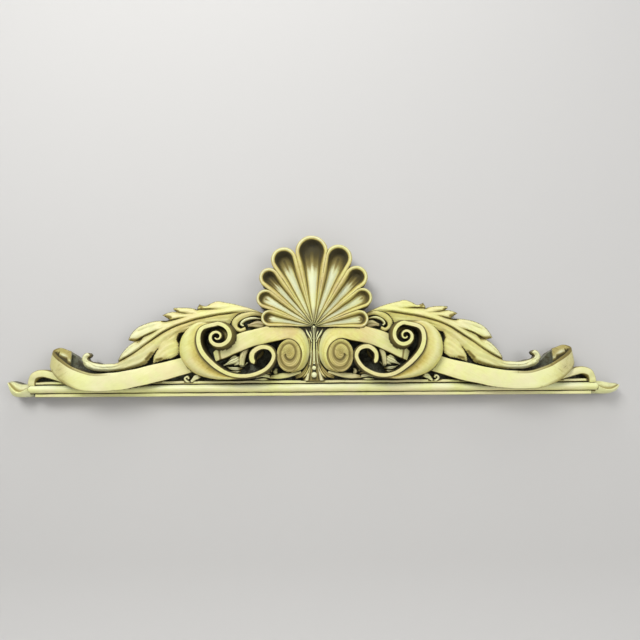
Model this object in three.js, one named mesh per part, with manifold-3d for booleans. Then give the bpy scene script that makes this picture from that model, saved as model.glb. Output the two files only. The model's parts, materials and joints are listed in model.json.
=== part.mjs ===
// Carved wooden headpiece: a shell over paired scrolls, ribbons and acanthus leaves, on a moulded rail.
// Millimetres, +Z up, +X to the right, the carved face towards -Y and the flat back in the plane y = 0.
import * as THREE from "three";
import { mergeVertices } from "three/addons/utils/BufferGeometryUtils.js";
import Module from "manifold-3d";

const wasm = await Module();
wasm.setup();

// The whole
const LENGTH = 1440;
const DRAWING_SQUARES = 144;
const SQUARE = LENGTH / DRAWING_SQUARES; // one square of the carver's drawing, the unit of every plan point
const GROUND = 14; // thickness of the sunk ground behind the carving
const CENTRE_X = 2.5; // the shell and the stem stand this far off the middle of the length

// Moulded rail
const RAIL_HALF = 649;
const RAIL_BOTTOM = -22;
const LOWER_FILLET = 8;
const TORUS_HEIGHT = 18;
const UPPER_FILLET = 6.5;
const RAIL_GROOVE = 2.2;
const FILLET_DEPTH = 36;
const TORUS_DEPTH = 45;
const GROOVE_DEPTH = 31;
const TORUS_SPRING = 34; // depth at which the torus swells out of its grooves
const TORUS_OVERRUN = 9; // the torus runs on this far past the fillets, then rounds off
const TORUS_NOSE = 8;
const TORUS_MIDDLE = RAIL_BOTTOM + LOWER_FILLET + RAIL_GROOVE / 2 + TORUS_HEIGHT / 2;

// Depths from the back to the front of each form
const SCROLL_DEPTH = 76;
const FLANK_EDGE_DEPTH = 44;
const RIBBON_DEPTH = 68;
const RIBBON_THICKNESS = 8;
const RIBBON_CROWN = 1.5;
const INNER_RIBBON_DEPTH = 54;
const VOLUTE_DEPTH = 63;
const VOLUTE_EDGE_DEPTH = 40;
const LEAF_DEPTH = 52;
const LEAF_EDGE_DEPTH = 34;
const TAIL_UNDERCUT = 26;
const SHELL_HUB_DEPTH = 46;
const SHELL_TIP_DEPTH = 60;
const STEM_DEPTH = 44;
const TERMINAL_DEPTH = 46;
const FOLIAGE_DEPTH = 34;

// Shell
const HUB_HEIGHT = 140;
const SHELL_RIM = 11;
const SCOOP_DEPTH = 22;
// Each lobe: its lean from the vertical and half its spread in degrees, and its length
const LOBES = [
  { lean: -79.8, spread: 10.6, length: 125 },
  { lean: -60.2, spread: 9.6, length: 152 },
  { lean: -42.4, spread: 8.8, length: 179 },
  { lean: -24.1, spread: 10.2, length: 203 },
  { lean: -1.4, spread: 12.5, length: 216 },
  { lean: 20.2, spread: 10.4, length: 205 },
  { lean: 41.2, spread: 9.4, length: 181 },
  { lean: 60.2, spread: 10.0, length: 155 },
  { lean: 81.8, spread: 11.0, length: 129 },
];

// Scrolls
const RIM_WIDTH = 12.5;
const HOOK_WIDTH = 9.5;
const VOLUTE_EYE_WIDTH = 5;
const VOLUTE_SWEEP = 480; // degrees of spiral from the top of the upper volute to its eye

const point = (x, z) => new THREE.Vector2(x, z);
const mix = THREE.MathUtils.lerp;
const radians = THREE.MathUtils.degToRad;
const smooth = (value, from, to) => THREE.MathUtils.smoothstep(value, from, to);

// A smooth curve through points of the drawing
function spline(points) {
  return new THREE.SplineCurve(points.map(([x, z]) => point(x, z)));
}

// The two halves are cut by eye: how far a point at this distance from the middle has drifted to the right
function drift(x) {
  const places = [0, 70, 120, 170, 215, 300, 345, 455, 530, 600, 660, 720];
  const shifts = [2.5, 5, 5.5, 0, -3.5, -3.5, -7, -6, -4.5, -2, -3, 0];
  const reach = (Math.abs(x) / SQUARE) * 10;
  const last = places.length - 1;
  const next = places.findIndex((place) => place > reach);
  if (next < 0) return shifts[last];
  const share = (reach - places[next - 1]) / (places[next] - places[next - 1]);
  return mix(shifts[next - 1], shifts[next], share);
}

// A closed geometry from corners and triangles, turned so that its faces point out
function closed(corners, triangles) {
  let volume = 0;
  for (const [a, b, c] of triangles) {
    volume += corners[a].clone().cross(corners[b]).dot(corners[c]);
  }
  const faces = volume < 0 ? triangles.map(([a, b, c]) => [a, c, b]) : triangles;
  const geometry = new THREE.BufferGeometry().setFromPoints(corners);
  geometry.setIndex(faces.flat());
  return geometry;
}

// A form swept over the plan. Each station is a row of [x, z, depth] across it, whose sides drop to the back
function ridge(stations) {
  const corners = [];
  const triangles = [];
  const count = stations[0].length + 2;
  for (const row of stations) {
    const first = row[0];
    const last = row[row.length - 1];
    corners.push(new THREE.Vector3(first[0] * SQUARE, 0, first[1] * SQUARE));
    for (const [x, z, depth] of row) corners.push(new THREE.Vector3(x * SQUARE, -depth, z * SQUARE));
    corners.push(new THREE.Vector3(last[0] * SQUARE, 0, last[1] * SQUARE));
  }
  for (let i = 0; i + 1 < stations.length; i += 1) {
    for (let j = 0; j < count; j += 1) {
      const a = i * count + j;
      const b = i * count + ((j + 1) % count);
      triangles.push([a, b, b + count], [a, b + count, a + count]);
    }
  }
  for (const [start, flip] of [[0, true], [(stations.length - 1) * count, false]]) {
    const middle = corners.length;
    corners.push(corners[start].clone().lerp(corners[start + count - 1], 0.5));
    for (let j = 0; j + 1 < count; j += 1) {
      const pair = flip ? [start + j + 1, start + j] : [start + j, start + j + 1];
      triangles.push([middle, ...pair]);
    }
    // the middle of the back edge also belongs to the back face, which is split there
    const back = flip
      ? [middle, start, start + count - 1]
      : [middle, start + count - 1, start];
    triangles.push(back);
  }
  return closed(corners, triangles);
}

// A form bounded by closed loops of [x, z, depth], from its foot on the back plane to the last one. A last
// loop that runs out and back along a line needs no face of its own
function bowl(loops, faced = true) {
  const corners = loops.flat().map(([x, z, depth]) => new THREE.Vector3(x * SQUARE, -depth, z * SQUARE));
  const triangles = [];
  const count = loops[0].length;
  for (let loop = 0; loop + 1 < loops.length; loop += 1) {
    for (let i = 0; i < count; i += 1) {
      const a = loop * count + i;
      const b = loop * count + ((i + 1) % count);
      triangles.push([a, b, b + count], [a, b + count, a + count]);
    }
  }
  const last = corners.length - count;
  for (let i = 1; i + 1 < count; i += 1) {
    triangles.push([0, i + 1, i]);
    if (faced) triangles.push([last, last + i, last + i + 1]);
  }
  return closed(corners, triangles);
}

// A leaf or band with a crowned face, along a curve of the drawing
function frond({ points, width, depth, steps = 4, start = 0.15, end = 0.1 }) {
  const path = spline(points);
  const stations = [];
  for (let i = 0; i <= steps; i += 1) {
    const t = i / steps;
    const swell = Math.sin(Math.PI * Math.min(1, 0.5 + t * 0.5 - 0.5 * (1 - t) * (1 - t)));
    const taper = mix(start, 1, smooth(t, 0, 0.35)) * mix(1, end, smooth(t, 0.45, 1));
    const half = (width / 2) * Math.max(taper, 0.06);
    const at = path.getPoint(t);
    const along = path.getTangent(t);
    const row = [-1, 0, 1].map((side) => [
      at.x - along.y * half * side,
      at.y + along.x * half * side,
      depth * mix(0.86, 1, 1 - side * side) * mix(0.93, 1, swell),
    ]);
    stations.push(row);
  }
  return ridge(stations);
}

// A closed geometry as a solid that can be joined and cut
function solid(geometry) {
  const bare = geometry.index ? geometry.toNonIndexed() : geometry.clone();
  bare.deleteAttribute("normal");
  bare.deleteAttribute("uv");
  const merged = mergeVertices(bare, 1e-4);
  const index = merged.index.array;
  const faces = [];
  for (let i = 0; i < index.length; i += 3) {
    const [a, b, c] = index.slice(i, i + 3);
    if (a !== b && b !== c && c !== a) faces.push(a, b, c);
  }
  return new wasm.Manifold(
    new wasm.Mesh({
      numProp: 3,
      vertProperties: merged.attributes.position.array,
      triVerts: new Uint32Array(faces),
    }),
  );
}

// One hand of a form that is drawn for the right half
function handed(geometry, side) {
  const made = geometry.clone();
  const place = made.attributes.position;
  for (let i = 0; i < place.count; i += 1) {
    const x = place.getX(i);
    place.setX(i, side * x + drift(x));
  }
  if (side < 0) {
    const faces = made.index ? [...made.index.array] : [...Array(place.count).keys()];
    for (let i = 0; i < faces.length; i += 3) {
      [faces[i + 1], faces[i + 2]] = [faces[i + 2], faces[i + 1]];
    }
    made.setIndex(faces);
  }
  return made;
}

// A profile of [depth, height] drawn out to the same length on both hands
function moulding(profile, half) {
  const shape = new THREE.Shape(profile.map(([depth, z]) => point(depth, z)));
  const bar = new THREE.ExtrudeGeometry(shape, { depth: 2 * half, bevelEnabled: false });
  // the profile's depth runs to -Y, its height to +Z and the extrusion to -X
  const turn = new THREE.Matrix4().makeBasis(
    new THREE.Vector3(0, -1, 0),
    new THREE.Vector3(0, 0, 1),
    new THREE.Vector3(-1, 0, 0),
  );
  return bar.applyMatrix4(turn).translate(half, 0, 0);
}

// The rail's two fillets with the recess between them
function fillets() {
  const step = FILLET_DEPTH + 1; // the upper fillet stands a little in front of the lower one
  const lowerTop = RAIL_BOTTOM + LOWER_FILLET;
  const torusTop = TORUS_MIDDLE + TORUS_HEIGHT / 2;
  return moulding([
    [0, RAIL_BOTTOM],
    [FILLET_DEPTH, RAIL_BOTTOM],
    [FILLET_DEPTH, lowerTop],
    [GROOVE_DEPTH, lowerTop + RAIL_GROOVE / 4],
    [GROOVE_DEPTH, torusTop + RAIL_GROOVE / 4],
    [step, torusTop + RAIL_GROOVE],
    [step, torusTop + RAIL_GROOVE + UPPER_FILLET],
    [0, torusTop + RAIL_GROOVE + UPPER_FILLET],
  ], RAIL_HALF);
}

// The round moulding between the fillets
function torus() {
  const profile = [[0, TORUS_MIDDLE - TORUS_HEIGHT / 2]];
  const steps = 8;
  for (let i = 0; i <= steps; i += 1) {
    const turn = Math.PI * (i / steps - 0.5);
    const depth = TORUS_SPRING + (TORUS_DEPTH - TORUS_SPRING) * Math.cos(turn);
    profile.push([depth, TORUS_MIDDLE + (TORUS_HEIGHT / 2) * Math.sin(turn)]);
  }
  profile.push([0, TORUS_MIDDLE + TORUS_HEIGHT / 2]);
  return moulding(profile, RAIL_HALF + TORUS_OVERRUN);
}

// The rounded end of the torus
function torusNose() {
  const nose = new THREE.SphereGeometry(1, 10, 8);
  nose.scale(TORUS_NOSE, TORUS_DEPTH - 1, TORUS_HEIGHT / 2);
  return nose.translate(RAIL_HALF + TORUS_OVERRUN, 0, TORUS_MIDDLE);
}

// The sunk ground that joins everything, a little inside the silhouette
function ground() {
  const half = [
    [0, -2.2], [66, -1.6], [66, 0.5], [63, 3.2], [59, 3.4], [59, 7], [56, 6.4], [53.5, 4.6], [48, 4.8],
    [44.2, 6.5], [42, 8.8], [40, 11.8], [39.5, 14], [34, 15.4], [31.6, 17.6], [26, 18], [22, 19.3],
    [15, 17.6], [11, 17.5], [10, 22], [6, 28], [0, 31],
  ];
  const slab = new THREE.ExtrudeGeometry(
    new THREE.Shape(half.map(([x, z]) => point(x * SQUARE, z * SQUARE))),
    { depth: GROUND, bevelEnabled: false },
  );
  slab.rotateX(Math.PI / 2);
  return slab;
}

// The rim and sloping outer face of the big C-scroll with its two volutes
function scroll() {
  const eye = point(21.4, 11.3);
  const topRadius = 3.1;
  const stations = [];
  const halfRim = RIM_WIDTH / 2 / SQUARE;
  const row = (at, out, half, edge, depth, edgeDepth) => {
    const inner = at.clone().addScaledVector(out, -half);
    const outer = at.clone().addScaledVector(out, half);
    const belly = outer.clone().lerp(edge, 0.5);
    return [
      [inner.x, inner.y, depth - 1],
      [mix(inner.x, outer.x, 0.75), mix(inner.y, outer.y, 0.75), depth],
      [outer.x, outer.y, depth - 4],
      [belly.x, belly.y, mix(depth - 4, edgeDepth, 0.42)],
      [edge.x, edge.y, edgeDepth],
    ];
  };
  const turns = 16;
  for (let i = 0; i < turns; i += 1) {
    const swept = VOLUTE_SWEEP * (1 - i / turns);
    const angle = radians(90 + swept);
    const radius = topRadius * (1 - swept / 600) ** 1.3;
    const out = point(Math.cos(angle), Math.sin(angle));
    const at = eye.clone().addScaledVector(out, radius);
    const half = mix(halfRim * 0.8, VOLUTE_EYE_WIDTH / 2 / SQUARE, swept / VOLUTE_SWEEP);
    const flank = mix(0.25, 0.75, smooth(swept, 120, 260));
    const edge = at.clone().addScaledVector(out, half + flank);
    stations.push(row(at, out, half, edge, SCROLL_DEPTH, SCROLL_DEPTH - 12 - flank * 22));
  }
  const body = spline([
    [21.4, 14.4], [24.9, 13.4], [25.8, 10.9], [24.8, 7.8], [21.8, 4.7], [18.6, 2.85], [14.9, 2.5],
    [11.2, 4.0], [9.45, 6.6], [10.3, 8.7], [12.3, 9.1], [14.1, 7.9], [14.3, 5.2],
  ]);
  const brink = spline([
    [21.5, 15.1], [27.2, 14.7], [30.4, 11.6], [30.6, 7.0], [27.4, 3.2], [22.0, 1.7], [15.4, 1.6],
  ]);
  const knots = body.points.length - 1;
  const faceKnots = brink.points.length - 1;
  const steps = 30;
  for (let i = 0; i <= steps; i += 1) {
    const t = i / steps;
    const at = body.getPoint(t);
    const along = body.getTangent(t);
    const out = point(-along.y, along.x);
    const rim = mix(halfRim * 0.8, halfRim, smooth(t, 0, 0.12));
    const half = mix(rim, HOOK_WIDTH / 2 / SQUARE, smooth(t, 0.4, 0.7)) * mix(1, 0.55, smooth(t, 0.93, 1));
    const knot = t * knots;
    const edge = at.clone().addScaledVector(out, half + 0.3);
    if (knot < faceKnots) {
      edge.lerp(brink.getPoint(knot / faceKnots), 1 - smooth(knot, faceKnots - 1, faceKnots));
    }
    const width = edge.distanceTo(at) - half;
    const drop = mix(14, SCROLL_DEPTH - FLANK_EDGE_DEPTH, smooth(width, 0.3, 3.5));
    stations.push(row(at, out, half, edge, SCROLL_DEPTH, SCROLL_DEPTH - drop));
  }
  return ridge(stations);
}

// The ribbon inside the C-scroll, from its square end to the top of the centre volute
function innerRibbon() {
  const top = spline([
    [22.9, 8.0], [20.3, 10.4], [17.6, 12.2], [14.2, 13.25], [10.5, 14.1], [7.4, 14.45], [4.6, 14.2],
  ]);
  const bottom = spline([
    [22.2, 5.8], [20.0, 6.7], [17.6, 7.8], [14.2, 9.2], [11.4, 9.9], [8.6, 10.1], [5.6, 11.2],
  ]);
  const stations = [];
  const steps = 12;
  for (let i = 0; i <= steps; i += 1) {
    const t = i / steps;
    const high = top.getPoint(t);
    const low = bottom.getPoint(t);
    const depth = mix(INNER_RIBBON_DEPTH, VOLUTE_DEPTH, smooth(t, 0.3, 0.9));
    const rolled = mix(3, VOLUTE_DEPTH - VOLUTE_EDGE_DEPTH, smooth(t, 0.6, 1));
    stations.push(
      [0, 0.5, 1].map((share) => [
        mix(low.x, high.x, share),
        mix(low.y, high.y, share),
        depth - rolled * share ** 2 - 1,
      ]),
    );
  }
  return ridge(stations);
}

// The volute beside the stem: an oval face with a flank that widens towards the stem
function centreVolute() {
  const face = { x: 5.85, z: 8.35, across: 3.15, up: 4.95 };
  const foot = { x: 5.02, z: 8.75, across: 3.97, up: 5.55 };
  const segments = 22;
  const loops = [
    { oval: foot, scale: 1, depth: 0 },
    { oval: foot, scale: 1, depth: VOLUTE_EDGE_DEPTH },
    { oval: face, scale: 1, depth: VOLUTE_DEPTH - 4 },
    { oval: face, scale: 0.9, depth: VOLUTE_DEPTH },
    { oval: face, scale: 0.45, depth: VOLUTE_DEPTH + 1 },
  ];
  return bowl(
    loops.map(({ oval, scale, depth }) =>
      Array.from({ length: segments }, (_, i) => {
        const turn = (2 * Math.PI * i) / segments;
        const x = oval.x + oval.across * scale * Math.cos(turn);
        const z = oval.z + oval.up * scale * Math.sin(turn);
        return [x, z, depth];
      }),
    ),
  );
}

// The groove that winds into the face of the centre volute: a wedge swept along the spiral, to be cut away
function voluteGroove() {
  const face = { x: 5.85, z: 8.6, across: 3.15, up: 4.95 };
  const corners = [];
  const triangles = [];
  const steps = 22;
  const start = radians(20);
  for (let i = 0; i <= steps; i += 1) {
    const turns = (1.2 * i) / steps;
    const reach = 0.45 * Math.exp(-6 * turns) + 0.55 - 0.25 * turns;
    const angle = start + turns * 2 * Math.PI;
    const wide = 3.2;
    const wedge = [[wide, VOLUTE_DEPTH + 6], [0, VOLUTE_DEPTH - 6], [-wide * 0.4, VOLUTE_DEPTH + 6]];
    for (const [out, depth] of wedge) {
      corners.push(
        new THREE.Vector3(
          (face.x + face.across * reach * Math.cos(angle)) * SQUARE + out * Math.cos(angle),
          -depth,
          (face.z + face.up * reach * Math.sin(angle)) * SQUARE + out * Math.sin(angle),
        ),
      );
    }
  }
  for (let i = 0; i < steps; i += 1) {
    for (let j = 0; j < 3; j += 1) {
      const a = i * 3 + j;
      const b = i * 3 + ((j + 1) % 3);
      triangles.push([a, b, b + 3], [a, b + 3, a + 3]);
    }
  }
  triangles.push([0, 2, 1], [steps * 3, steps * 3 + 1, steps * 3 + 2]);
  return closed(corners, triangles);
}

// The two edges of the broad ribbon, out of the C-scroll, down over the rail and back on itself. The third
// figure of each point is its depth as a share of RIBBON_DEPTH
const RIBBON_UPPER = [
  [27.5, 8.0, 0.46], [32.0, 6.35, 0.62], [36.6, 5.15, 0.82], [41.1, 4.0, 0.94], [45.6, 3.35, 0.97],
  [50.4, 3.3, 0.97], [54.8, 4.6, 0.94], [57.9, 5.9, 0.88], [60.3, 7.3, 0.74], [60.9, 8.5, 0.57],
  [59.6, 9.3, 0.43], [57.3, 8.7, 0.36], [54.4, 6.4, 0.35],
];
const RIBBON_LOWER = [
  [26.3, 4.0, 0.46], [29.6, 2.9, 0.62], [34.1, 1.45, 0.82], [38.7, 0.35, 0.95], [43.1, -0.55, 0.98],
  [47.8, -0.85, 1], [52.2, -0.65, 1], [56.2, 0.7, 0.96], [59.3, 2.8, 0.85], [61.2, 4.9, 0.66],
  [60.9, 5.4, 0.48], [58.4, 4.4, 0.37], [54.8, 3.2, 0.35],
];
const TURN_START = 0.5; // share of the ribbon's course at which its backing ends and the curl begins
function edgeCurve(edge) {
  return new THREE.CatmullRomCurve3(
    edge.map(([x, z, share]) => new THREE.Vector3(x * SQUARE, -RIBBON_DEPTH * share, z * SQUARE)),
  );
}

function outerRibbon() {
  const upper = edgeCurve(RIBBON_UPPER);
  const lower = edgeCurve(RIBBON_LOWER);
  const stations = [];
  const steps = 12;
  for (let i = 0; i <= steps; i += 1) {
    const high = upper.getPoint((TURN_START * i) / steps);
    const low = lower.getPoint((TURN_START * i) / steps);
    const middle = low.clone().lerp(high, 0.5);
    middle.y -= RIBBON_CROWN;
    stations.push([low, middle, high].map((p) => [p.x / SQUARE, p.z / SQUARE, -p.y]));
  }
  return ridge(stations);
}

// The ribbon's end: the band turns back on itself round a hollow and stops short as a curl
function ribbonCurl() {
  const upper = edgeCurve(RIBBON_UPPER);
  const lower = edgeCurve(RIBBON_LOWER);
  const corners = [];
  const triangles = [];
  const steps = 14;
  for (let i = 0; i <= steps; i += 1) {
    const t = mix(TURN_START, 1, i / steps);
    const high = upper.getPoint(t);
    const low = lower.getPoint(t);
    const along = upper.getTangent(t).add(lower.getTangent(t));
    const inwards = high.clone().sub(low).cross(along).normalize();
    const middle = low.clone().lerp(high, 0.5).addScaledVector(inwards, -RIBBON_CROWN);
    const inner = [high, low].map((p) => p.clone().addScaledVector(inwards, RIBBON_THICKNESS));
    corners.push(low, middle, high, ...inner);
  }
  const count = 5;
  for (let i = 0; i < steps; i += 1) {
    for (let j = 0; j < count; j += 1) {
      const a = i * count + j;
      const b = i * count + ((j + 1) % count);
      triangles.push([a, b, b + count], [a, b + count, a + count]);
    }
  }
  const last = steps * count;
  for (let j = 1; j + 1 < count; j += 1) {
    triangles.push([0, j + 1, j], [last, last + j, last + j + 1]);
  }
  return closed(corners, triangles);
}

// The bed that carries the curl on the ground
function curlBed() {
  const depth = RIBBON_DEPTH * 0.36;
  return ridge([
    [[54.4, 2.6, depth], [54.4, 6.2, depth]],
    [[57.2, 2.4, depth], [57.2, 8.4, depth]],
    [[59.8, 3.4, depth], [59.8, 8.9, depth]],
  ]);
}

// The mid-rib of the acanthus leaf, from beside the shell to the curled tail
const LEAF_RIB = spline([
  [11.4, 17.0], [18.6, 17.35], [24.8, 16.4], [31.0, 14.6], [37.3, 10.85], [42.5, 7.1], [46.5, 4.8],
  [50.4, 4.6], [52.6, 6.0], [52.9, 8.6],
]);

// The leaf's edge: each lobe swells from the last notch to its tip and is cut back to the next notch
function leafOutline() {
  const shape = new THREE.Shape();
  shape.moveTo(11.8, 17.0);
  shape.splineThru([point(15.4, 18.5), point(20.5, 19.85), point(22.6, 20.1), point(25.0, 19.0)]);
  const lobes = [
    { tip: [26.6, 19.5], notch: [27.2, 18.2], swell: [25.8, 19.0] },
    { tip: [32.6, 18.6], notch: [32.0, 17.8], swell: [29.8, 18.9] },
    { tip: [35.0, 16.9], notch: [34.5, 15.5], swell: [33.6, 17.6] },
    { tip: [42.9, 11.0], notch: [40.4, 11.3], swell: [41.6, 15.6] },
    { tip: [45.2, 5.7], notch: [46.4, 5.5], swell: [43.6, 10.0] },
  ];
  for (const { tip, notch, swell } of lobes) {
    shape.quadraticCurveTo(swell[0], swell[1], tip[0], tip[1]);
    shape.lineTo(notch[0], notch[1]);
  }
  shape.splineThru([
    point(48.8, 5.4), point(50.6, 5.7), point(51.7, 6.4), point(51.8, 7.1), point(51.1, 7.2),
    point(51.0, 7.8), point(52.0, 8.3), point(53.1, 7.8), point(53.7, 6.5), point(53.1, 5.0),
    point(51.4, 4.1), point(49.0, 3.75), point(45.5, 3.75), point(42.0, 4.2), point(38.6, 5.3),
  ]);
  shape.lineTo(35.8, 9.0);
  shape.quadraticCurveTo(37.2, 7.0, 36.9, 5.4);
  shape.splineThru([
    point(34.4, 6.3), point(32.6, 6.6), point(31.2, 7.7), point(30.9, 9.3), point(31.6, 11.0),
    point(31.2, 12.5),
  ]);
  shape.lineTo(29.0, 13.2);
  shape.lineTo(24.5, 13.6);
  shape.splineThru([point(19.6, 14.0), point(18.9, 15.6), point(17.4, 17.1), point(15.2, 17.6)]);
  return shape;
}

// The leaf's face runs across its mid-rib: crest, a step down into the groove, a second swell and the edge
function leafFace() {
  const stations = [];
  const steps = 22;
  for (let i = 0; i <= steps; i += 1) {
    const t = i / steps;
    const at = LEAF_RIB.getPoint(t);
    const along = LEAF_RIB.getTangent(t);
    const slim = smooth(t, 0.55, 0.85);
    const above = mix(mix(4, 6.5, smooth(t, 0, 0.3)), 2.1, slim);
    const below = mix(mix(3, 7.5, smooth(t, 0, 0.35)), 1.3, slim);
    const crest = mix(LEAF_DEPTH - 6, LEAF_DEPTH, smooth(t, 0, 0.3));
    const groove = mix(9, 1, slim);
    const edge = mix(LEAF_EDGE_DEPTH, LEAF_DEPTH - 10, slim);
    const face = [
      [-1, edge - 4], [-0.62, mix(edge, crest, 0.45)], [-0.3, crest - 4], [-0.03, crest - groove],
      [0.015, crest], [0.25, mix(crest, edge, 0.3)], [1, edge - 3],
    ];
    stations.push(
      face.map(([share, depth]) => {
        const away = share < 0 ? share * below : share * above;
        return [at.x - along.y * away, at.y + along.x * away, depth];
      }),
    );
  }
  return ridge(stations);
}

// The leaf's outline as a block that the face is cut to
function leafBlock() {
  const drawn = leafOutline().getPoints(3);
  const shape = new THREE.Shape(drawn.map((p) => point(p.x * SQUARE, p.y * SQUARE)));
  const block = new THREE.ExtrudeGeometry(shape, { depth: LEAF_DEPTH * 2, bevelEnabled: false });
  return block.rotateX(Math.PI / 2);
}

// The undercut that frees the leaf's curled tail from the ground
function undercut() {
  const room = new THREE.BoxGeometry(6 * SQUARE, 2 * TAIL_UNDERCUT, 4 * SQUARE);
  return room.translate(51 * SQUARE, 0, 8 * SQUARE);
}

// One lobe of the shell: a rim that runs from the hub round the tip and back, and a scoop inside it
function lobe({ lean, spread, length }) {
  const half = radians(spread);
  const tipRadius = (length * Math.sin(half)) / (1 + Math.sin(half));
  const tipCentre = length - tipRadius;
  const flank = tipCentre * Math.cos(half);
  const away = point(Math.sin(radians(lean)), Math.cos(radians(lean)));
  const across = point(away.y, -away.x);
  // half of the outline, from the hub along the flank and round the tip: turn is the way it faces
  const spots = [];
  for (const share of [0.04, 0.3, 0.62]) {
    const reach = flank * share;
    spots.push({ run: reach * Math.cos(half), side: reach * Math.sin(half), turn: -half, share });
  }
  const tipSteps = 4;
  for (let i = 0; i <= tipSteps; i += 1) {
    const turn = mix(-half, Math.PI / 2, i / tipSteps);
    const run = tipCentre + tipRadius * Math.sin(turn);
    spots.push({ run, side: tipRadius * Math.cos(turn), turn, share: 1 });
  }
  // the outline drawn in: 1 is the inner edge of the rim and 2 is the axis
  const loop = (inset, depthAt) => {
    const right = spots.map(({ run, side, turn, share }) => {
      const toAxis = share < 1 ? side / Math.cos(turn) : tipRadius;
      const rim = Math.min(toAxis, SHELL_RIM * mix(0.12, 1, smooth(share, 0, 0.95)));
      const drawnIn = inset < 1 ? rim * inset : mix(rim, toAxis, inset - 1);
      return [run - drawnIn * Math.sin(turn), side - drawnIn * Math.cos(turn), depthAt(share)];
    });
    const left = right.slice(0, -1).reverse().map(([run, side, depth]) => [run, -side, depth]);
    return [...right, ...left].map(([run, side, depth]) => [
      (CENTRE_X + away.x * run + across.x * side) / SQUARE,
      (HUB_HEIGHT + away.y * run + across.y * side) / SQUARE,
      depth,
    ]);
  };
  const top = (share) => mix(SHELL_HUB_DEPTH, SHELL_TIP_DEPTH, smooth(share, 0, 0.9));
  const sunk = (share) => SCOOP_DEPTH * mix(0.15, 1, smooth(share, 0, 0.8));
  return bowl([
    loop(0, () => 0),
    loop(0, (share) => top(share) - 5),
    loop(0.4, (share) => top(share)),
    loop(1, (share) => top(share) - 4),
    loop(1.45, (share) => top(share) - 3 - sunk(share) * 0.85),
    loop(2, (share) => top(share) - 3 - sunk(share)),
  ], false);
}

// The stem below the shell, flaring down to the rail
function stem() {
  const widths = [
    [13.4, 1.1], [12.2, 0.7], [11.0, 0.8], [8.6, 0.95], [6.2, 1.15], [4.2, 1.8], [2.8, 2.6], [1.4, 3.6],
  ];
  const middle = CENTRE_X / SQUARE;
  return ridge(
    widths.map(([z, half]) => [
      [middle - half, z, STEM_DEPTH - 8],
      [middle - half * 0.45, z, STEM_DEPTH - 1],
      [middle - half * 0.3, z, STEM_DEPTH - 5],
      [middle, z, STEM_DEPTH + 2],
      [middle + half * 0.3, z, STEM_DEPTH - 5],
      [middle + half * 0.45, z, STEM_DEPTH - 1],
      [middle + half, z, STEM_DEPTH - 8],
    ]),
  );
}

// The three beads on the stem and the boss at the shell's hub
function beads() {
  const places = [
    { height: 52, radius: 3.5 },
    { height: 40, radius: 5 },
    { height: 25, radius: 7 },
    { height: HUB_HEIGHT - 3, radius: 6 },
  ];
  return places.map(({ height, radius }) => {
    const bead = new THREE.SphereGeometry(radius, 8, 6);
    bead.translate(CENTRE_X, -STEM_DEPTH - radius * 0.3, height);
    return bead;
  });
}

// The arch that springs from the end of the rail
function hump() {
  const path = spline([
    [57.5, 1.9], [60.6, 2.85], [62.8, 3.3], [64.5, 2.9], [65.4, 1.7], [65.6, 0.2], [65.9, -1.2],
  ]);
  const stations = [];
  const steps = 11;
  for (let i = 0; i <= steps; i += 1) {
    const at = path.getPoint(i / steps);
    const along = path.getTangent(i / steps);
    const half = 0.88;
    stations.push(
      [-1, -0.55, 0.55, 1].map((side) => [
        at.x - along.y * half * side,
        at.y + along.x * half * side,
        TERMINAL_DEPTH - (Math.abs(side) === 1 ? 5 : 0),
      ]),
    );
  }
  return ridge(stations);
}

// The upturned cup at the very end: a rounded under-surface, a rim, and a hollow behind it
function cup(rise) {
  const sections = [
    { x: 65.6, top: 1.0, rim: 0.3, low: -1.9, share: 0.9 },
    { x: 67.0, top: 0.8, rim: -0.5, low: -2.0, share: 1 },
    { x: 68.4, top: 0.65, rim: -0.9, low: -2.05, share: 1 },
    { x: 69.8, top: 0.6, rim: -0.5, low: -1.9, share: 0.95 },
    { x: 71.0, top: 0.7, rim: 0, low: -1.5, share: 0.85 },
    { x: 71.7, top: 0.75, rim: 0.3, low: -1.1, share: 0.75 },
    { x: 72.0, top: 0.6, rim: 0.3, low: -0.6, share: 0.66 },
  ];
  return ridge(
    sections.map(({ x, top, rim, low, share }) => {
      const lift = (rise / SQUARE) * smooth(x, 67.5, 71.7);
      const front = TERMINAL_DEPTH * share;
      return [
        [x, low + lift, front * 0.5],
        [x, mix(low, rim, 0.55) + lift, front * 0.85],
        [x, rim + lift, front],
        [x, mix(rim, top, 0.2) + lift, front * 0.62],
        [x, mix(rim, top, 0.8) + lift, front * 0.5],
        [x, top + lift, front * 0.55],
      ];
    }),
  );
}

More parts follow.
